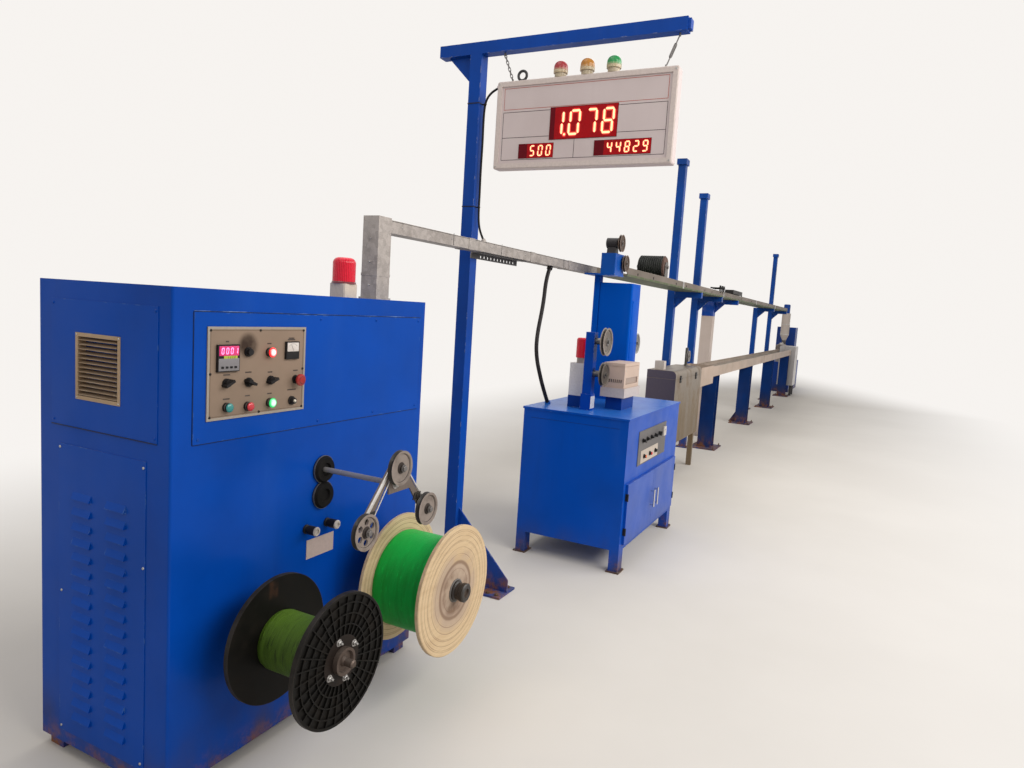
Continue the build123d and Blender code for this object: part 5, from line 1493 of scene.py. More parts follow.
@dataclass
class Traverse:
    """The traverse's rod, arm and guide pulleys."""

    nut_radius: float = 0.0105
    nut_height: float = 0.007
    pin_reach: float = 0.033
    rod_nut: Pair = (0.008, 0.958)
    clamp_places: Profile = ((-0.128, 0.872), (0.142, 0.888))
    # Pale strips that paint a highlight on the arm's edges, as x, z, width, length, thickness and lean.
    edge_highlights: tuple[Spot, ...] = (
        (-0.0925, 0.9435, 0.017, 0.192, 0.0045, 0.8876), (-0.0660, 0.9220, 0.006, 0.190, 0.0030, 0.74),
        (0.1180, 0.9480, 0.007, 0.150, 0.0035, -0.86),
    )

    def build(self) -> None:
        """Dress the traverse and fit the nuts on its pins."""
        paint(Moulded("rod_grey", (0.22, 0.21, 0.215), roughness=0.22, dust=0.3, shine=0.9), "traverse_rod")
        grey = Metal("arm_steel", (0.20, 0.165, 0.145), roughness=0.5, amount=0.7, grain=(1, 1, 0.06))
        paint(grey, "traverse_arm")
        nuts = Fitting("traverse_nuts")
        pin_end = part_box("traverse_arm")[0].y
        for side in ("top", "left", "right"):
            node = f"traverse_{side}_pulley"
            low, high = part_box(node)
            axis = tuple((low + high) / 2)
            radius = (high.x - low.x) / 2
            base = Moulded("pulley_grey_" + side, (0.24, 0.20, 0.175), dusty=(0.10, 0.080, 0.068), dust=0.8)
            groove = Zone(
                (0.030, 0.027, 0.026), y=(low.y + 0.004, high.y), axis=axis, ring=above(radius * 0.80), roughness=0.3,
            )
            centre = Zone((0.045, 0.036, 0.032), axis=axis, ring=below(radius * 0.34), roughness=0.4)
            paint(Zoned(f"{side}_pulley_finish", base, (groove, centre)), node)
            nuts.hexagon((axis[0], pin_end, axis[2]), self.nut_radius, self.nut_height)
        nuts.finish(STEEL_CAST, "zinc_grey", "traverse")
        nut = Fitting("rod_nut")
        face = pin_end + self.pin_reach
        nut.hexagon((self.rod_nut[0], face, self.rod_nut[1]), 0.013, 0.009)
        nut.finish(STEEL_ZINC, "zinc_grey", "traverse")
        # Pale strips along the arm's edges: a painted highlight.
        edges = Fitting("arm_edges")
        for x, z, wide, long, thick, lean in self.edge_highlights:
            edges.plate((x, face, z), (wide, long), thick, lean=lean)
        edges.finish(Metal("arm_edge_highlight", (0.66, 0.64, 0.62), roughness=0.42, amount=0.45), "zinc_grey", "traverse")
        clamp = Fitting("arm_clamps")
        for x, z in self.clamp_places:
            clamp.plate((x, face, z), (0.038, 0.026), 0.0042, 0.0012, 0.003, lean=0.5)
            clamp.hexagon((x, face - 0.0042, z), 0.0065, 0.003)
        clamp.finish(SCREW_BLACK, "cast_steel", "traverse")


@dataclass
class DisplayPost:
    """The post, its beam, the hangers, and the board with its lamps and numbers."""

    tie_places: Profile = ((2.684, -0.0953), (2.136, -0.0920))
    axis_y: float = -0.041
    width: float = 0.070
    near_side: float = -0.182
    far_side: float = -1.154
    board_height: float = 0.452
    edge: float = 0.028
    windows: tuple[Spot, ...] = (
        (0.317, 0.685, 0.150, 0.313), (0.145, 0.347, 0.326, 0.401), (0.569, 0.865, 0.326, 0.401),
    )
    lit_windows: tuple[Spot, ...] = (
        (0.345, 0.682, 0.153, 0.310), (0.196, 0.345, 0.328, 0.399), (0.622, 0.863, 0.328, 0.399),
    )
    lamp_places: Spot = (-0.530, -0.676, -0.817)
    lamp_borders: Pair = (-0.60, -0.75)
    rib_ring: float = 0.0352
    rib_count: int = 30
    grid_line: float = 0.0026
    grid_inset: float = 0.015
    grid_foot: float = 0.018
    header: float = 0.335
    lower_row: float = 0.665
    divide: float = 0.47

    def build(self) -> None:
        """Dress the post and fit out the board."""
        blue = Enamel("post_enamel", (0.003, 0.058, 0.35), (0.005, 0.045, 0.25), grime=0.35, rust=0.8, wear=0.4)
        paint(blue, "display_post")
        low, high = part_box("display_board")
        ring = Zone((0.016, 0.015, 0.015), y=(-0.350, -0.274), z=(high.z, high.z + 0.066), roughness=0.5)
        paint(Zoned("hanger_steel", STEEL_CAST, (ring,)), "board_hangers")
        self.dress_board(low, high)
        self.dress_lamps()
        self.add_ties()

    def dress_board(self, low: Vector, high: Vector) -> None:
        """Give the board its frame, face, grid lines, windows and digits.

        Args:
            low: The low corner of the board's box.
            high: The high corner of the board's box.
        """
        front = low.x + 0.007
        edge = self.edge
        right, left = self.far_side + edge, self.near_side - edge
        bottom, top = high.z - self.board_height + edge, high.z - edge
        face = Enamel(
            "board_face", (0.64, 0.55, 0.54), (0.58, 0.49, 0.48), chip=(0.50, 0.42, 0.40), roughness=0.42,
            coat=0.05, wear=0.1, dust=0.2,
        )
        frame_metal = Zone((0.66, 0.57, 0.53), x=below(front - 0.0021), roughness=0.4)
        panes = tuple(
            Zone(colour, x=below(front - 0.0011), y=(self.near_side - far, self.near_side - near),
                 z=(high.z - under, high.z - over), roughness=0.12, patchy=patchy)
            for colour, places, patchy in (
                ((0.13, 0.001, 0.007), self.windows, 0.0), ((0.42, 0.003, 0.007), self.lit_windows, 0.2),
            )
            for near, far, over, under in places
        )
        paint(Zoned("board_sheet", face, (frame_metal, *panes)), "display_board")
        grid = Fitting("board_lines", Facing.TAKEUP)
        width, height = left - right, top - bottom
        middle = (left + right) / 2
        inset, foot, line = self.grid_inset, bottom + self.grid_foot, self.grid_line
        first, second = (top - height * share for share in (self.header, self.lower_row))
        for z in (first, second, foot):
            grid.plate((front, middle, z), (line, width - 2 * inset), 0.0004, 0.0)
        for y, head in ((left - inset, first), (right + inset, first), (left - width * self.divide, second)):
            grid.plate((front, y, (head + foot) / 2), (head - foot, line), 0.0004, 0.0)
        grid.finish(Moulded("grid_ink", (0.075, 0.060, 0.060), dust=0.3), "dark_plastic")
        header = Fitting("board_header_line", Facing.TAKEUP).frame(
            (front, middle, top - height * self.header / 2 + 0.002),
            (height * self.header - 0.022, width - 2 * inset), line, 0.0004,
        )
        header.finish(Moulded("header_ink", (0.44, 0.11, 0.08), dust=0.3), "lamp_red")
        screws = Fitting("board_corner_screws", Facing.TAKEUP)
        for y in (left + edge * 0.5, right - edge * 0.5):
            for z in (top + edge * 0.5, bottom - edge * 0.5):
                screws.screw((low.x, y, z), SCREW_RADIUS)
        screws.finish(STEEL_ZINC, "zinc_grey")
        reading, up = Vector((0, -1, 0)), Vector((0, 0, 1))
        lit = Lens("display_core", (1.0, 0.36, 0.10), (1.0, 0.80, 0.46), 1.15)
        halo = Lens("display_halo", (0.55, 0.004, 0.006), (0.85, 0.035, 0.012), 0.75)
        large = (Segments.ONE, None, Segments.ZERO, Segments.SEVEN, Segments.EIGHT)
        five = (Segments.FIVE, Segments.ZERO, Segments.ZERO)
        metres = (Segments.FOUR, Segments.FOUR, Segments.EIGHT, Segments.TWO, Segments.NINE)
        for name, figures, across, down, height, pitch, stroke in (
            ("diameter", large, 0.634, 0.2315, 0.122, 0.090, 0.088), ("speed", five, 0.318, 0.3635, 0.052, 0.046, 0.11),
            ("length", metres, 0.835, 0.3635, 0.052, 0.046, 0.11),
        ):
            for layer, finish, width, depth in (("glow", halo, stroke * 2.1, 0.0003), ("figures", lit, stroke, 0.0006)):
                NumberDisplay(
                    f"{name}_{layer}", figures, (front - 0.0024, self.near_side - across, high.z - down),
                    Facing.TAKEUP, height, pitch, reading, up, finish, width, depth,
                ).build()

    def dress_lamps(self) -> None:
        """Colour the three domes, and give each a clear ribbed skirt."""
        low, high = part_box("signal_lamps")
        axis = tuple((low + high) / 2)
        amber_edge, green_edge = self.lamp_borders
        # The dome's second colour is its painted highlight on the prisms and crown.
        red = RibbedDome("signal_domes_base", axis, (0.30, 0.035, 0.040), (0.45, 0.12, 0.10), 3.0)
        zones = (
            Zone((0.50, 0.21, 0.035), y=(green_edge, amber_edge), roughness=0.2),
            Zone((0.035, 0.30, 0.090), y=below(green_edge), roughness=0.2),
            Zone((0.52, 0.42, 0.27), z=below(low.z + 0.036), roughness=0.25, patchy=0.4),
            Zone((0.48, 0.40, 0.28), z=below(low.z + 0.022), roughness=0.5),
        )
        paint(Zoned("signal_domes", red, zones), "signal_lamps")
        ribs = Fitting("signal_ribs", Facing.UP)
        for y in self.lamp_places:
            for n in range(self.rib_count):
                turn = math.tau * n / self.rib_count
                foot = (axis[0] + self.rib_ring * math.cos(turn), y + self.rib_ring * math.sin(turn), low.z + 0.023)
                ribs.turned(foot, ((0, 0), (0.0016, 0), (0.0016, 0.021), (0, 0.0225)), 6)
        ribs.finish(Lens("clear_ribs", (0.60, 0.48, 0.30), roughness=0.2), "lamp_red")

    def add_ties(self) -> None:
        """Tie the cable to the post with black bands."""
        ties = Fitting("cable_ties", Facing.UP)
        around = self.width + 0.004
        face = self.axis_y - self.width / 2 - 0.0015
        for z, cable in self.tie_places:
            ties.frame((POST_X, self.axis_y, z), (around, around), 0.0018, 0.005)
            ties.plate((POST_X, face, z + 0.0025), (0.004, 0.005), face - 0.0065 - cable, 0.0, facing=Facing.AISLE)
            ties.ring((POST_X, cable, z), 0.0062, 0.0078, 0.005, 20)
        ties.finish(PLASTIC_BLACK, "dark_plastic")


@dataclass
class Trunking:
    """The riser, the trunk to the head and the perforated angle under it."""

    side_face: float = -0.167
    riser_face: float = 0.480
    riser_middle: float = -0.125
    riser_screws: Spot = (1.66, 1.76, 1.86)
    lid_start: float = 0.65
    lid_pitch: float = 0.42
    lid_screws: int = 6
    joints: Spot = (1.088, 1.607, 2.512)
    side_height: float = 0.060
    side_middle: float = 1.925

    def build(self) -> None:
        """Dress the trunk and screw its lid down."""
        zinc = Metal("trunk_zinc", (0.34, 0.31, 0.29), flakes=0.35, roughness=0.5, amount=0.45, grain=(0.2, 1, 1))
        angle = Zone((0.055, 0.050, 0.052), x=(1.4151, 1.974), y=(-0.148, -0.0761), z=below(1.8931), roughness=0.5)
        collars = Zone((0.030, 0.028, 0.028), x=(2.33, 2.42), y=(-0.16, -0.09), z=(1.862, 1.8929))
        paint(Zoned("trunk_finish", zinc, (angle, collars)), "cable_trunking")
        screws = Fitting("trunk_screws", Facing.TAKEUP)
        for n in range(self.lid_screws):
            x = self.lid_start + self.lid_pitch * n
            screws.screw((x, self.side_face, self.side_middle), SCREW_RADIUS, facing=Facing.AISLE)
        for z in self.riser_screws:
            screws.screw((self.riser_face, self.riser_middle, z), SCREW_RADIUS)
        screws.finish(STEEL_ZINC, "zinc_grey")
        seam = Fitting("trunk_lid_seam")
        seam.plate((1.85, self.side_face, self.side_middle + 0.020), (2.55, 0.0018), 0.0006, 0.0)
        for x in self.joints:
            seam.plate((x, self.side_face, self.side_middle), (0.0035, self.side_height), 0.0006, 0.0)
        seam.finish(PLASTIC_BLACK, "dark_plastic")


@dataclass
class CapstanDesk:
    """The capstan desk: body, doors, control plates, and what stands on its top."""

    seam: float = 0.002
    pad_bolts: tuple[Spot, Spot] = ((2.134, 3.386), (-0.835, -0.115))
    hinge_places: Pair = (0.2345, 0.4535)
    hinge_height: float = 0.047
    button_face: float = -0.852
    meter_face: float = -0.843
    meter_middle: Pair = (2.982, 0.785)
    meter_reach: float = 0.025
    button_height: float = 0.690
    catch_places: Pair = (2.490, 2.750)
    slot_pitch: float = 0.0135
    lever_places: Spot = (1.095, 1.155, 1.215)
    cover_middle: Pair = (3.1025, 1.40)
    cover_screws: tuple[Spot, Spot] = ((3.038, 3.167), (1.105, 1.40, 1.695))

    def build(self) -> None:
        """Dress the desk and add its fittings."""
        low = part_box("capstan_desk")[0]
        cobalt = Enamel(
            "desk_enamel", (0.001, 0.070, 0.44), (0.002, 0.058, 0.35), chip=(0.14, 0.24, 0.46), roughness=0.32,
            coat=0.1, grime=0.28, rust=0.7, wear=0.35, dust=0.2,
        )
        pads = Zone((0.10, 0.058, 0.034), z=below(0.0082), roughness=0.75, patchy=0.3)
        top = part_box("desk_pedestals")[0].z - 0.0006
        lit = Zone((0.018, 0.13, 0.50), z=above(top), roughness=0.3, patchy=0.4)
        paint(Zoned("desk_paint", cobalt, (pads, lit)), "capstan_desk")
        chrome = Zone((0.66, 0.66, 0.67), y=below(-0.8466), roughness=0.14, metal=1.0)
        for side, reach in (("left", below(2.1915)), ("right", above(3.3285))):
            hinges = [
                Zone((0.022, 0.021, 0.022), x=reach, z=(z, z + self.hinge_height), roughness=0.4)
                for z in self.hinge_places
            ]
            paint(Zoned(side + "_door_paint", cobalt, (chrome, *hinges)), "desk_door_" + side)
        self.dress_panel()
        seams = Fitting("desk_seams", Facing.TAKEUP)
        seams.plate((low.x + 0.012, -0.475, 0.905), (self.seam, 0.60), 0.0005, 0.0)
        seams.finish(Moulded("seam_shadow", (0.006, 0.018, 0.075), dusty=(0.02, 0.05, 0.13)), "desk_blue")
        bolts = Fitting("desk_pad_bolts", Facing.UP)
        for x in self.pad_bolts[0]:
            for y in self.pad_bolts[1]:
                bolts.hexagon((x, y, 0.008), 0.0055, 0.005)
        bolts.finish(STEEL_CAST, "cast_steel")
        self.dress_top()

    def dress_panel(self) -> None:
        """Colour the control plates and cap their buttons."""
        grey = Enamel("desk_plate", (0.14, 0.13, 0.13), (0.10, 0.095, 0.10), roughness=0.4, coat=0.1, wear=0.2)
        knobs = Zone((0.018, 0.017, 0.018), y=below(-0.8343), roughness=0.4)
        plate = Zone((0.52, 0.45, 0.39), x=(2.4345, 2.8355), y=(-0.8363, -0.8342), z=(0.6475, 0.7325))
        meter = Zone((0.56, 0.52, 0.49), x=(2.9495, 3.0145), y=below(-0.8345), roughness=0.3)
        paint(Zoned("desk_plates", grey, (knobs, plate, meter)), "desk_panel")
        caps = (
            ("desk_orange_cap", 2.5017, Lens("orange_button", (0.75, 0.14, 0.015), roughness=0.35)),
            ("desk_red_cap", 2.635, Lens("desk_red_button", (0.60, 0.02, 0.02), roughness=0.35)),
        )
        for name, x, finish in caps:
            cap = Fitting(name).turned(
                (x, self.button_face, self.button_height),
                ((0, 0), (0.0112, 0), (0.0112, 0.0015), (0.0095, 0.004), (0.005, 0.0055), (0, 0.006)), 28,
            )
            cap.finish(finish, "lamp_red")
        dial = Fitting("desk_meter_marks")
        x, z = self.meter_middle
        for n in range(-3, 4):
            turn = math.radians(90 - 14 * n)
            right, up = self.meter_reach * math.cos(turn), self.meter_reach * math.sin(turn)
            dial.plate((x + right, self.meter_face, z + up), (0.0012, 0.004), 0.0003, 0.0)
        dial.plate((x - 0.002, self.meter_face, z + 0.013), (0.001, 0.026), 0.0005, 0.0, lean=-0.4)
        dial.finish(PLASTIC_BLACK, "dark_plastic")

    def dress_top(self) -> None:
        """Dress the column, the spark tester, the switch box, the housing and their pulleys."""
        column = Enamel("column_enamel", (0.001, 0.055, 0.38), (0.003, 0.044, 0.28), wear=0.4)
        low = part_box("guide_column")[0]
        pin = Zone((0.16, 0.155, 0.15), y=below(-0.5055), z=above(1.110), roughness=0.35, metal=0.9)
        shoe = Zone((0.56, 0.56, 0.60), y=below(-0.5095), z=(low.z + 0.012, low.z + 0.092))
        paint(Zoned("column_paint", column, (pin, shoe)), "guide_column")
        paint(Enamel("pedestal_enamel", (0.002, 0.045, 0.28), (0.004, 0.034, 0.19)), "desk_pedestals")
        for node, tone in (
            ("column_pulley_upper", (0.25, 0.215, 0.19)), ("column_pulley_lower", (0.13, 0.11, 0.095)),
            ("capstan_sheave", (0.32, 0.31, 0.30)), ("head_pulley_upper", (0.13, 0.090, 0.070)),
            ("head_pulley_lower", (0.13, 0.090, 0.070)), ("tank_sheave", (0.28, 0.26, 0.25)),
        ):
            self.dress_pulley(node, tone)
        cream = Enamel(
            "tester_enamel", (0.60, 0.46, 0.38), (0.46, 0.34, 0.27), chip=(0.62, 0.53, 0.45), roughness=0.4, wear=0.3,
        )
        low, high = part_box("spark_tester")
        window = Zone(
            (0.36, 0.27, 0.22), x=(low.x + 0.043, high.x - 0.043), y=below(-0.6685), z=(1.1447, 1.1877),
            roughness=0.25,
        )
        tray = Zone((0.54, 0.48, 0.46), z=below(1.120), roughness=0.4, patchy=0.3)
        paint(Zoned("tester_paint", cream, (tray, window)), "spark_tester")
        slots = Fitting("tester_slots", Facing.TAKEUP)
        for n in range(8):
            y = -0.655 + self.slot_pitch * n
            slots.plate((low.x + 0.010, y, 1.166), (0.022, 0.006), 0.0006, 0.0)
        slots.finish(PLASTIC_BLACK, "dark_plastic")
        catch = Fitting("tester_catches")
        for x in self.catch_places:
            catch.screw((x, -0.675, 1.236), 0.004)
        catch.finish(STEEL_BARE, "stainless")
        low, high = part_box("switch_box")
        centre = ((low.x + high.x) / 2, (low.y + high.y) / 2, high.z)
        # The dome's second colour is its painted highlight on the prisms and crown.
        dome = RibbedDome("desk_beacon_red", centre, (0.42, 0.0, 0.012), (0.72, 0.02, 0.05))
        base = Zone((0.42, 0.36, 0.33), z=below(low.z + 0.252), roughness=0.4)
        box = Zone((0.76, 0.72, 0.71), z=below(low.z + 0.2161), roughness=0.4, patchy=0.1)
        paint(Zoned("switch_box_plastic", dome, (base, box)), "switch_box")
        lever = Fitting("switch_levers")
        for z in self.lever_places:
            lever.turned(
                (centre[0], low.y, z),
                ((0, 0), (0.014, 0), (0.014, 0.005), (0.010, 0.006), (0.010, 0.014), (0.008, 0.016), (0, 0.016)), 24,
            )
        lever.finish(PLASTIC_BLACK, "dark_plastic")
        housing = Enamel(
            "housing_enamel", (0.0, 0.080, 0.47), (0.001, 0.068, 0.40), chip=(0.14, 0.24, 0.46), roughness=0.4,
            coat=0.0, wear=0.3, shine=0.04,
        )
        arm = Zone((0.12, 0.115, 0.11), x=above(3.2055), roughness=0.4, metal=0.8)
        paint(Zoned("housing_paint", housing, (arm,)), "capstan_housing")
        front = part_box("capstan_housing")[0].y
        cover = Fitting("housing_cover")
        x, z = self.cover_middle
        cover.plate((x, front, z), (0.150, 0.62), 0.003, 0.001, 0.006)
        for x in self.cover_screws[0]:
            for z in self.cover_screws[1]:
                cover.screw((x, front - 0.003, z), SCREW_RADIUS)
        cover.finish(housing, "desk_blue")

    def dress_pulley(self, node: str, tone: Colour) -> None:
        """Finish a guide pulley with a worn groove and a bright hub.

        Args:
            node: The pulley's node.
            tone: Its colour.
        """
        low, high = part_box(node)
        axis = tuple((low + high) / 2)
        radius = (high.x - low.x) / 2
        base = Moulded(node + "_base", tone, dusty=toned(tone, 0.5), roughness=0.4, dust=0.7)
        deep = (high.y - low.y) * 0.2
        groove = Zone(
            toned(tone, 0.25), y=(low.y + deep, high.y - deep), axis=axis, ring=above(radius * 0.80), roughness=0.3,
        )
        disc = Zone(toned(tone, 0.5), axis=axis, ring=below(radius * 0.74), patchy=0.5, soft=0.003)
        centre = Zone((0.16, 0.15, 0.145), axis=axis, ring=below(radius * 0.27), roughness=0.35, metal=0.8)
        paint(Zoned(node + "_finish", base, (groove, disc, centre)), node)


@dataclass
class UpperTrough:
    """The upper trough with its head, drum, wiper box, supports, taps and drain holes."""

    tap_places: Spot = (6.72, 6.84, 6.95)
    spout: float = 0.095
    drain_places: Spot = (3.42, 3.86, 4.62, 5.02, 5.86, 6.24, 8.20, 9.10)
    strap_places: Spot = (4.90, 6.95, 9.60, 11.90)
    water_level: float = 0.030
    water_start: float = 8.500

    def build(self) -> None:
        """Dress the trough's nodes and add taps, holes and water."""
        low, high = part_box("upper_trough")
        trough = Enamel(
            "trough_sheet", (0.19, 0.155, 0.13), (0.13, 0.108, 0.088), chip=(0.30, 0.27, 0.25), roughness=0.45,
            coat=0.05, wear=0.5, dust=0.2,
        )
        # Darker green-grey band along the trough's bottom.
        green_bottom_band = Zone((0.085, 0.115, 0.055), z=below(low.z + 0.016), roughness=0.6, patchy=0.9)
        paint(Zoned("upper_trough_sheet", trough, (green_bottom_band,)), "upper_trough")
        light = Enamel("head_enamel", (0.003, 0.075, 0.38), (0.006, 0.055, 0.26), wear=0.5)
        nut = Zone((0.040, 0.038, 0.040), z=above(2.0362), roughness=0.4, metal=0.5)
        pins = Zone((0.14, 0.11, 0.09), y=below(-0.4005), roughness=0.5, metal=0.6)
        paint(Zoned("head_paint", light, (nut, pins)), "head_bracket")
        paint(STEEL_CAST, "drum_bearing_plates")
        drum_low, drum_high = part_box("grooved_drum")
        axis = tuple((drum_low + drum_high) / 2)
        black = Moulded("drum_rubber", (0.010, 0.011, 0.010), dusty=(0.060, 0.066, 0.052), roughness=0.5)
        plate = Zone((0.13, 0.075, 0.060), y=below(axis[1] - 0.1075), roughness=0.6, patchy=0.4)
        stub = Zone(
            (0.20, 0.18, 0.17), y=below(axis[1] - 0.1185), axis=axis, ring=below(0.016), roughness=0.35, metal=0.9,
        )
        gaps = Zone(
            (0.15, 0.155, 0.15), y=above(axis[1] - 0.106), axis=axis, ring=(0.05, 0.0925), roughness=0.5, patchy=0.5,
        )
        paint(Zoned("drum_finish", black, (gaps, plate, stub)), "grooved_drum")
        slab = Enamel(
            "wiper_enamel", (0.050, 0.045, 0.043), (0.030, 0.028, 0.027), chip=(0.20, 0.18, 0.17), roughness=0.5,
        )
        paint(slab, "wiper_box")
        blue = Enamel("upright_enamel", (0.003, 0.060, 0.32), (0.006, 0.045, 0.22), grime=0.3, rust=0.9, wear=0.5)
        paint(blue, "upper_uprights")
        beige = Enamel(
            "column_sheet", (0.60, 0.51, 0.46), (0.50, 0.41, 0.36), chip=(0.60, 0.54, 0.48), roughness=0.45, grime=0.3,
        )
        head = Zone((0.003, 0.058, 0.34), z=above(1.662), roughness=0.4, patchy=0.1)
        paint(Zoned("box_column_sheet", beige, (head,)), "box_column")
        self.add_fittings(low, high)

    def add_fittings(self, low: Vector, high: Vector) -> None:
        """Add taps, drain holes, joint straps and water.

        Args:
            low: The low corner of the trough's box.
            high: The high corner of the trough's box.
        """
        taps = Fitting("trough_taps", Facing.UP)
        for x in self.tap_places:
            taps.turned(
                (x, low.y + 0.006, high.z - 0.020),
                ((0, 0), (0.013, 0), (0.013, 0.018), (0.009, 0.022), (0.009, 0.048), (0.014, 0.052), (0.014, 0.070),
                 (0.009, 0.074), (0.009, 0.084), (0, 0.084)), 18,
            )
            taps.plate((x + 0.012, low.y + 0.006, high.z + 0.062), (0.060, 0.012), 0.006, 0.0015)
            taps.turned(
                (x, low.y + 0.010, high.z + 0.038),
                ((0, 0), (0.007, 0), (0.007, self.spout), (0.0095, self.spout), (0.0095, self.spout + 0.014),
                 (0, self.spout + 0.014)), 16, facing=Facing.WALL,
            )
        taps.finish(PLASTIC_BLACK, "dark_plastic")
        holes = Fitting("trough_plugs")
        for x in self.drain_places:
            holes.turned(
                (x, low.y, low.z + 0.030),
                ((0, 0.0006), (0.007, 0.0006), (0.0085, 0.0022), (0.0105, 0.0022), (0.0112, 0), (0, 0)), 20,
            )
        holes.finish(SCREW_BLACK, "dark_plastic")
        straps = Fitting("trough_straps")
        middle = low.z + 0.0325
        for x in self.strap_places:
            straps.plate((x, low.y, middle), (0.050, 0.064), 0.0025, 0.0008)
            for right, up in corners(x, middle, 0.015, 0.0165):
                straps.screw((right, low.y - 0.0025, up), 0.0042)
        straps.finish(STEEL_ZINC, "trough_grey")
        water = Fitting("upper_water", Facing.UP)
        water.plate(
            ((self.water_start + high.x) / 2, (low.y + high.y) / 2, low.z + 0.005),
            (high.x - self.water_start, high.y - low.y - 0.0104), self.water_level, 0.0,
        )
        water.finish(StillWater(), "trough_grey")


@dataclass
class CoolingTank:
    """The stainless tank at the line's middle, the end box, the lower trough and its posts."""

    hinge: Pair = (0.060, 0.070)
    hinge_places: Pair = (4.95, 5.62)
    trough_bed: Pair = (-0.305, 0.945)
    trough_width: float = 0.2596
    water_level: float = 0.070
    basin_bed: Place = (6.223, -0.3075, 0.873)
    basin: Pair = (0.6636, 0.2746)
    basin_level: float = 0.130
    post_start: float = 7.130
    post_pitch: float = 2.704
    post_y: float = -0.317
    upright_places: Spot = (5.750, 6.890, 11.850, 13.870)
    upright_y: float = -0.085
    foot_places: Spot = (-0.385, -0.33, 0.09)
    plate_top: float = 0.012

    def build(self) -> None:
        """Dress the tank and troughs, and add hinges, bolts and water."""
        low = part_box("cooling_tank")[0]
        # The tank's yellow-brown tint up to its top is partly silt stain and partly a painted golden reflection.
        aged = Metal(
            "tank_steel", (0.29, 0.245, 0.20), stain=(0.12, 0.075, 0.04), roughness=0.36, amount=0.8,
            grain=(1, 1, 0.05), silt_and_reflection=1.05,
        )
        box = Zone((0.56, 0.50, 0.46), x=(4.849, 4.931), y=(-0.301, -0.209), z=(1.0955, 1.180), roughness=0.4)
        stand = Zone((0.10, 0.095, 0.09), x=above(5.75), y=above(-0.33), z=above(1.0955), roughness=0.4, metal=0.7)
        # Purple-grey band on the tank's near end face: painted shade.
        edge = Zone((0.105, 0.09, 0.12), x=(4.7595, 4.7615), roughness=0.35, metal=0.9)
        paint(Zoned("tank_sheet", aged, (edge, stand, box)), "cooling_tank")
        cream = Enamel(
            "lower_trough_enamel", (0.47, 0.36, 0.29), (0.36, 0.28, 0.22), chip=(0.55, 0.48, 0.42), roughness=0.42,
            coat=0.1, wear=0.5,
        )
        paint(cream, "lower_trough", "trough_end_box")
        posts = Enamel(
            "trough_post_enamel", (0.002, 0.032, 0.17), (0.003, 0.020, 0.10), chip=(0.16, 0.13, 0.12), grime=0.4,
            rust=0.9, wear=0.5, roughness=0.5, coat=0.0,
        )
        paint(posts, "trough_posts")
        hinges = Fitting("tank_hinges")
        for x in self.hinge_places:
            hinges.plate((x, low.y, 1.010), self.hinge, 0.005, 0.0012, 0.004)
            hinges.rod((x - self.hinge[0] / 2, low.y - 0.006, 1.0155), 0.006, self.hinge[0], 16, facing=Facing.LINE)
            for right, up in corners(x, 1.0105, 0.018, 0.0255):
                hinges.screw((right, low.y - 0.005, up), SCREW_RADIUS)
        hinges.finish(PLASTIC_BLACK, "dark_plastic")
        bolts = Fitting("post_anchor_bolts", Facing.UP)
        stud = ((0, 0), (0.0058, 0), (0.0058, 0.016), (0.0048, 0.018), (0, 0.018))
        for n in range(4):
            for x, y in corners(self.post_start + self.post_pitch * n, self.post_y, 0.185, 0.135):
                bolts.hexagon((x, y, self.plate_top), 0.011, 0.009)
                bolts.turned((x, y, self.plate_top + 0.009), stud, 12)
        places = [place for x in self.upright_places for place in corners(x, self.upright_y, 0.055, 0.055)]
        places += [(POST_X + dx, y) for y in self.foot_places for dx in (-0.07, 0.07)]
        for x, y in places:
            bolts.hexagon((x, y, self.plate_top), 0.010, 0.008)
        bolts.finish(
            Metal("rusty_bolts", (0.16, 0.095, 0.06), stain=(0.07, 0.03, 0.012), roughness=0.6, amount=0.9,
                  grain=(1, 1, 1)),
            "rust_brown",
        )
        trough_low, trough_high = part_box("lower_trough")
        water = Fitting("lower_water", Facing.UP)
        water.plate(
            ((trough_low.x + trough_high.x) / 2, *self.trough_bed),
            (trough_high.x - trough_low.x - 0.002, self.trough_width), self.water_level, 0.0,
        )
        water.plate(self.basin_bed, self.basin, self.basin_level, 0.0)
        water.finish(StillWater(), "trough_cream")


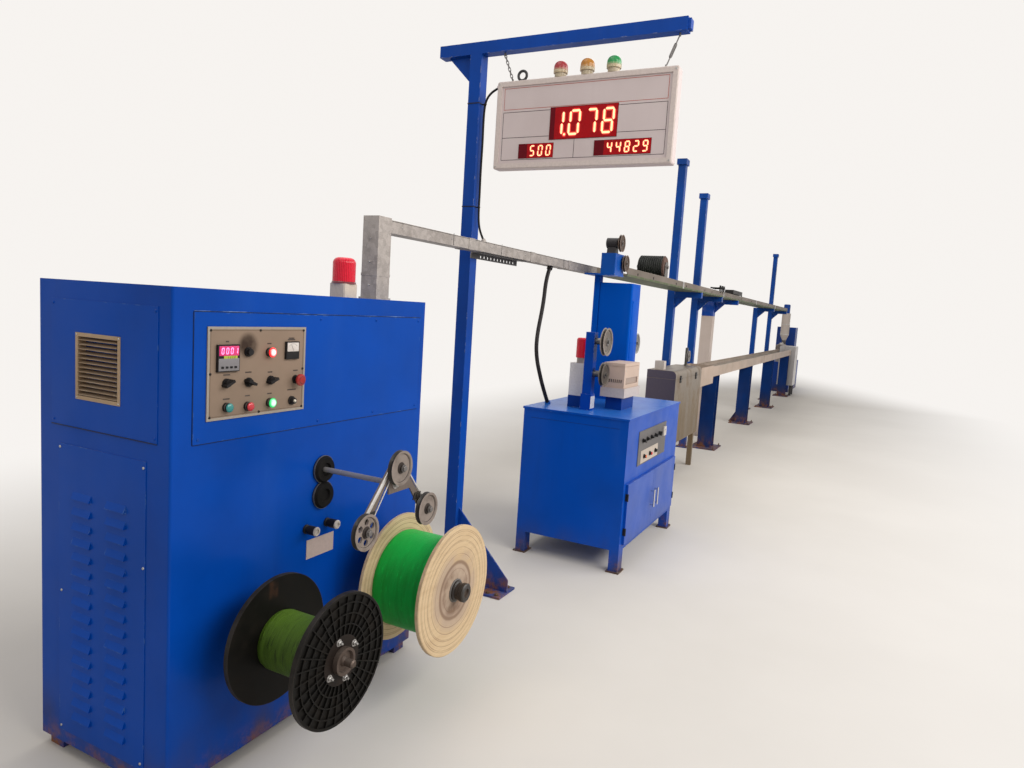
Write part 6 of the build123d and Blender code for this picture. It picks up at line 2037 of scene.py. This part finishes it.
@dataclass
class Extruder:
    """The extruder at the far end, with the stainless cabinet before it."""

    heater_start: float = 16.170
    heater_pitch: float = 0.16375
    heater_count: int = 4
    heater_top: float = 1.1505
    clamp_y: float = -0.080
    clamp: Pair = (0.040, 0.030)
    clamp_height: float = 0.018
    band_places: Spot = (1.372, 1.62, 1.882)

    def build(self) -> None:
        """Dress the far end and add heater clamps and base bolts."""
        legs = Zone((0.035, 0.033, 0.035), z=below(0.2395), roughness=0.5)
        paint(Zoned("die_tank_sheet", STEEL_STAINLESS, (legs,)), "die_end_tank")
        blue = Enamel("extruder_enamel", (0.008, 0.052, 0.30), (0.012, 0.042, 0.20), grime=0.3, rust=0.5)
        paint(blue, "extruder_base", "extruder_drive")
        heaters = Metal("heater_bands", (0.36, 0.33, 0.31), roughness=0.4, amount=0.5, grain=(1, 1, 1))
        head = Zone((0.12, 0.10, 0.09), x=below(16.1715), roughness=0.5, metal=0.8, patchy=0.5)
        paint(Zoned("barrel_steel", heaters, (head,)), "extruder_barrel")
        low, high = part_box("material_hopper")
        white = Enamel(
            "hopper_enamel", (0.55, 0.49, 0.45), (0.45, 0.38, 0.33), chip=(0.6, 0.55, 0.5), roughness=0.4, wear=0.2,
        )
        loader = Zone((0.012, 0.060, 0.30), z=above(1.9005), roughness=0.35)
        throat = Zone((0.10, 0.095, 0.09), z=below(1.231), roughness=0.4, metal=0.9)
        paint(Zoned("hopper_paint", white, (loader, throat)), "material_hopper")
        clamps = Fitting("heater_clamps", Facing.UP)
        for n in range(self.heater_count):
            x = self.heater_start + self.heater_pitch * (n + 0.5)
            clamps.plate((x, self.clamp_y, self.heater_top), self.clamp, self.clamp_height, 0.002)
            clamps.hexagon((x, self.clamp_y, self.heater_top + self.clamp_height), 0.008, 0.007)
        clamps.finish(STEEL_ZINC, "zinc_grey")
        bands = Fitting("hopper_bands", Facing.UP)
        middle = (low + high) / 2
        for z in self.band_places:
            bands.turned(
                (middle.x, middle.y, z),
                ((0.0995, 0), (0.1030, 0.001), (0.1030, 0.011), (0.0995, 0.012), (0.0995, 0)), 64,
            )
        bands.finish(STEEL_BARE, "stainless")
        window = Fitting("hopper_sight_glass")
        window.plate((middle.x, low.y + 0.002, 1.53), (0.034, 0.20), 0.008, 0.002, 0.012)
        window.finish(Lens("sight_glass", (0.10, 0.11, 0.12)), "dark_plastic")


@dataclass
class Surroundings:
    """The floor, the light and the camera."""

    lens: float = 25.083
    eye: Place = (-2.0210, -2.1072, 1.600)
    right: Place = (0.45374492, -0.8888721, 0.06341873)
    up: Place = (0.06572097, 0.10435155, 0.99236662)
    forward: Place = (0.88870485, 0.44611337, -0.10576652)
    floor_size: float = 90.0
    floor_middle: float = 9.0
    sky: Colour = (0.95, 0.93, 0.91)
    sky_strength: float = 0.45
    lamp_colour: Colour = (1.0, 0.975, 0.94)

    def build(self) -> None:
        """Place the camera, the lamps, the world and the floor."""
        data = bpy.data.cameras.new("photo_view")
        data.sensor_width = 36.0
        data.lens = self.lens
        data.clip_end = 200.0
        camera = placed("photo_view", data)
        back = -Vector(self.forward)
        turn = Matrix((self.right, self.up, back)).transposed().to_4x4()
        camera.matrix_world = Matrix.Translation(self.eye) @ turn
        bpy.context.scene.camera = camera
        bpy.context.scene.view_settings.view_transform = "Standard"
        self.light()
        shape = bmesh.new()
        bmesh.ops.create_grid(shape, x_segments=4, y_segments=4, size=self.floor_size / 2)
        bmesh.ops.translate(shape, vec=(self.floor_middle, 0.0, 0.0), verts=shape.verts)
        mesh = bpy.data.meshes.new("floor")
        shape.to_mesh(mesh)
        shape.free()
        mesh.materials.append(PaleFloor().material())
        placed("floor", mesh)

    def light(self) -> None:
        """Hang long soft lamps over the aisle and the line, under a pale sky."""
        for name, place, size, watts, aim in (
            ("aisle_light", (3.0, -6.0, 4.6), (11.0, 2.5), 520.0, (3.5, 0.0, 0.9)),
            ("roof_light", (8.0, 0.5, 6.5), (24.0, 3.0), 330.0, (8.0, 0.0, 0.0)),
            ("takeup_light", (-5.0, -1.5, 4.6), (3.0, 2.0), 45.0, (1.2, -0.5, 2.0)),
        ):
            data = bpy.data.lights.new(name, "AREA")
            data.shape = "RECTANGLE"
            data.size, data.size_y = size
            data.energy = watts
            data.color = self.lamp_colour
            lamp = placed(name, data)
            gaze = Vector(aim) - Vector(place)
            lamp.matrix_world = Matrix.Translation(place) @ gaze.to_track_quat("-Z", "Y").to_matrix().to_4x4()
        world = bpy.data.worlds.new("hall")
        world.use_nodes = True
        bpy.context.scene.world = world
        tree = world.node_tree
        plain = tree.nodes["Background"]
        plain.inputs["Color"].default_value = (*self.sky, 1.0)
        plain.inputs["Strength"].default_value = self.sky_strength
        seen = tree.nodes.new("ShaderNodeBackground")
        seen.inputs["Color"].default_value = (*BACKDROP, 1.0)
        blend = tree.nodes.new("ShaderNodeMixShader")
        for socket, place in zip((seen_straight(tree), plain.outputs[0], seen.outputs[0]), blend.inputs):
            tree.links.new(socket, place)
        tree.links.new(blend.outputs[0], tree.nodes["World Output"].inputs["Surface"])


def main() -> None:
    """Build the line's sub-assemblies in order, and report each."""
    logging.basicConfig(level=logging.INFO, format="%(name)s: %(message)s")
    for part in (
        Surroundings(), Cords(), TakeupCabinet(), OperatingPanel(), Reels(), Traverse(), DisplayPost(), Trunking(),
        CapstanDesk(), UpperTrough(), CoolingTank(), Extruder(),
    ):
        log.info("building %s", type(part).__name__)
        part.build()


if __name__ == "__main__":
    main()
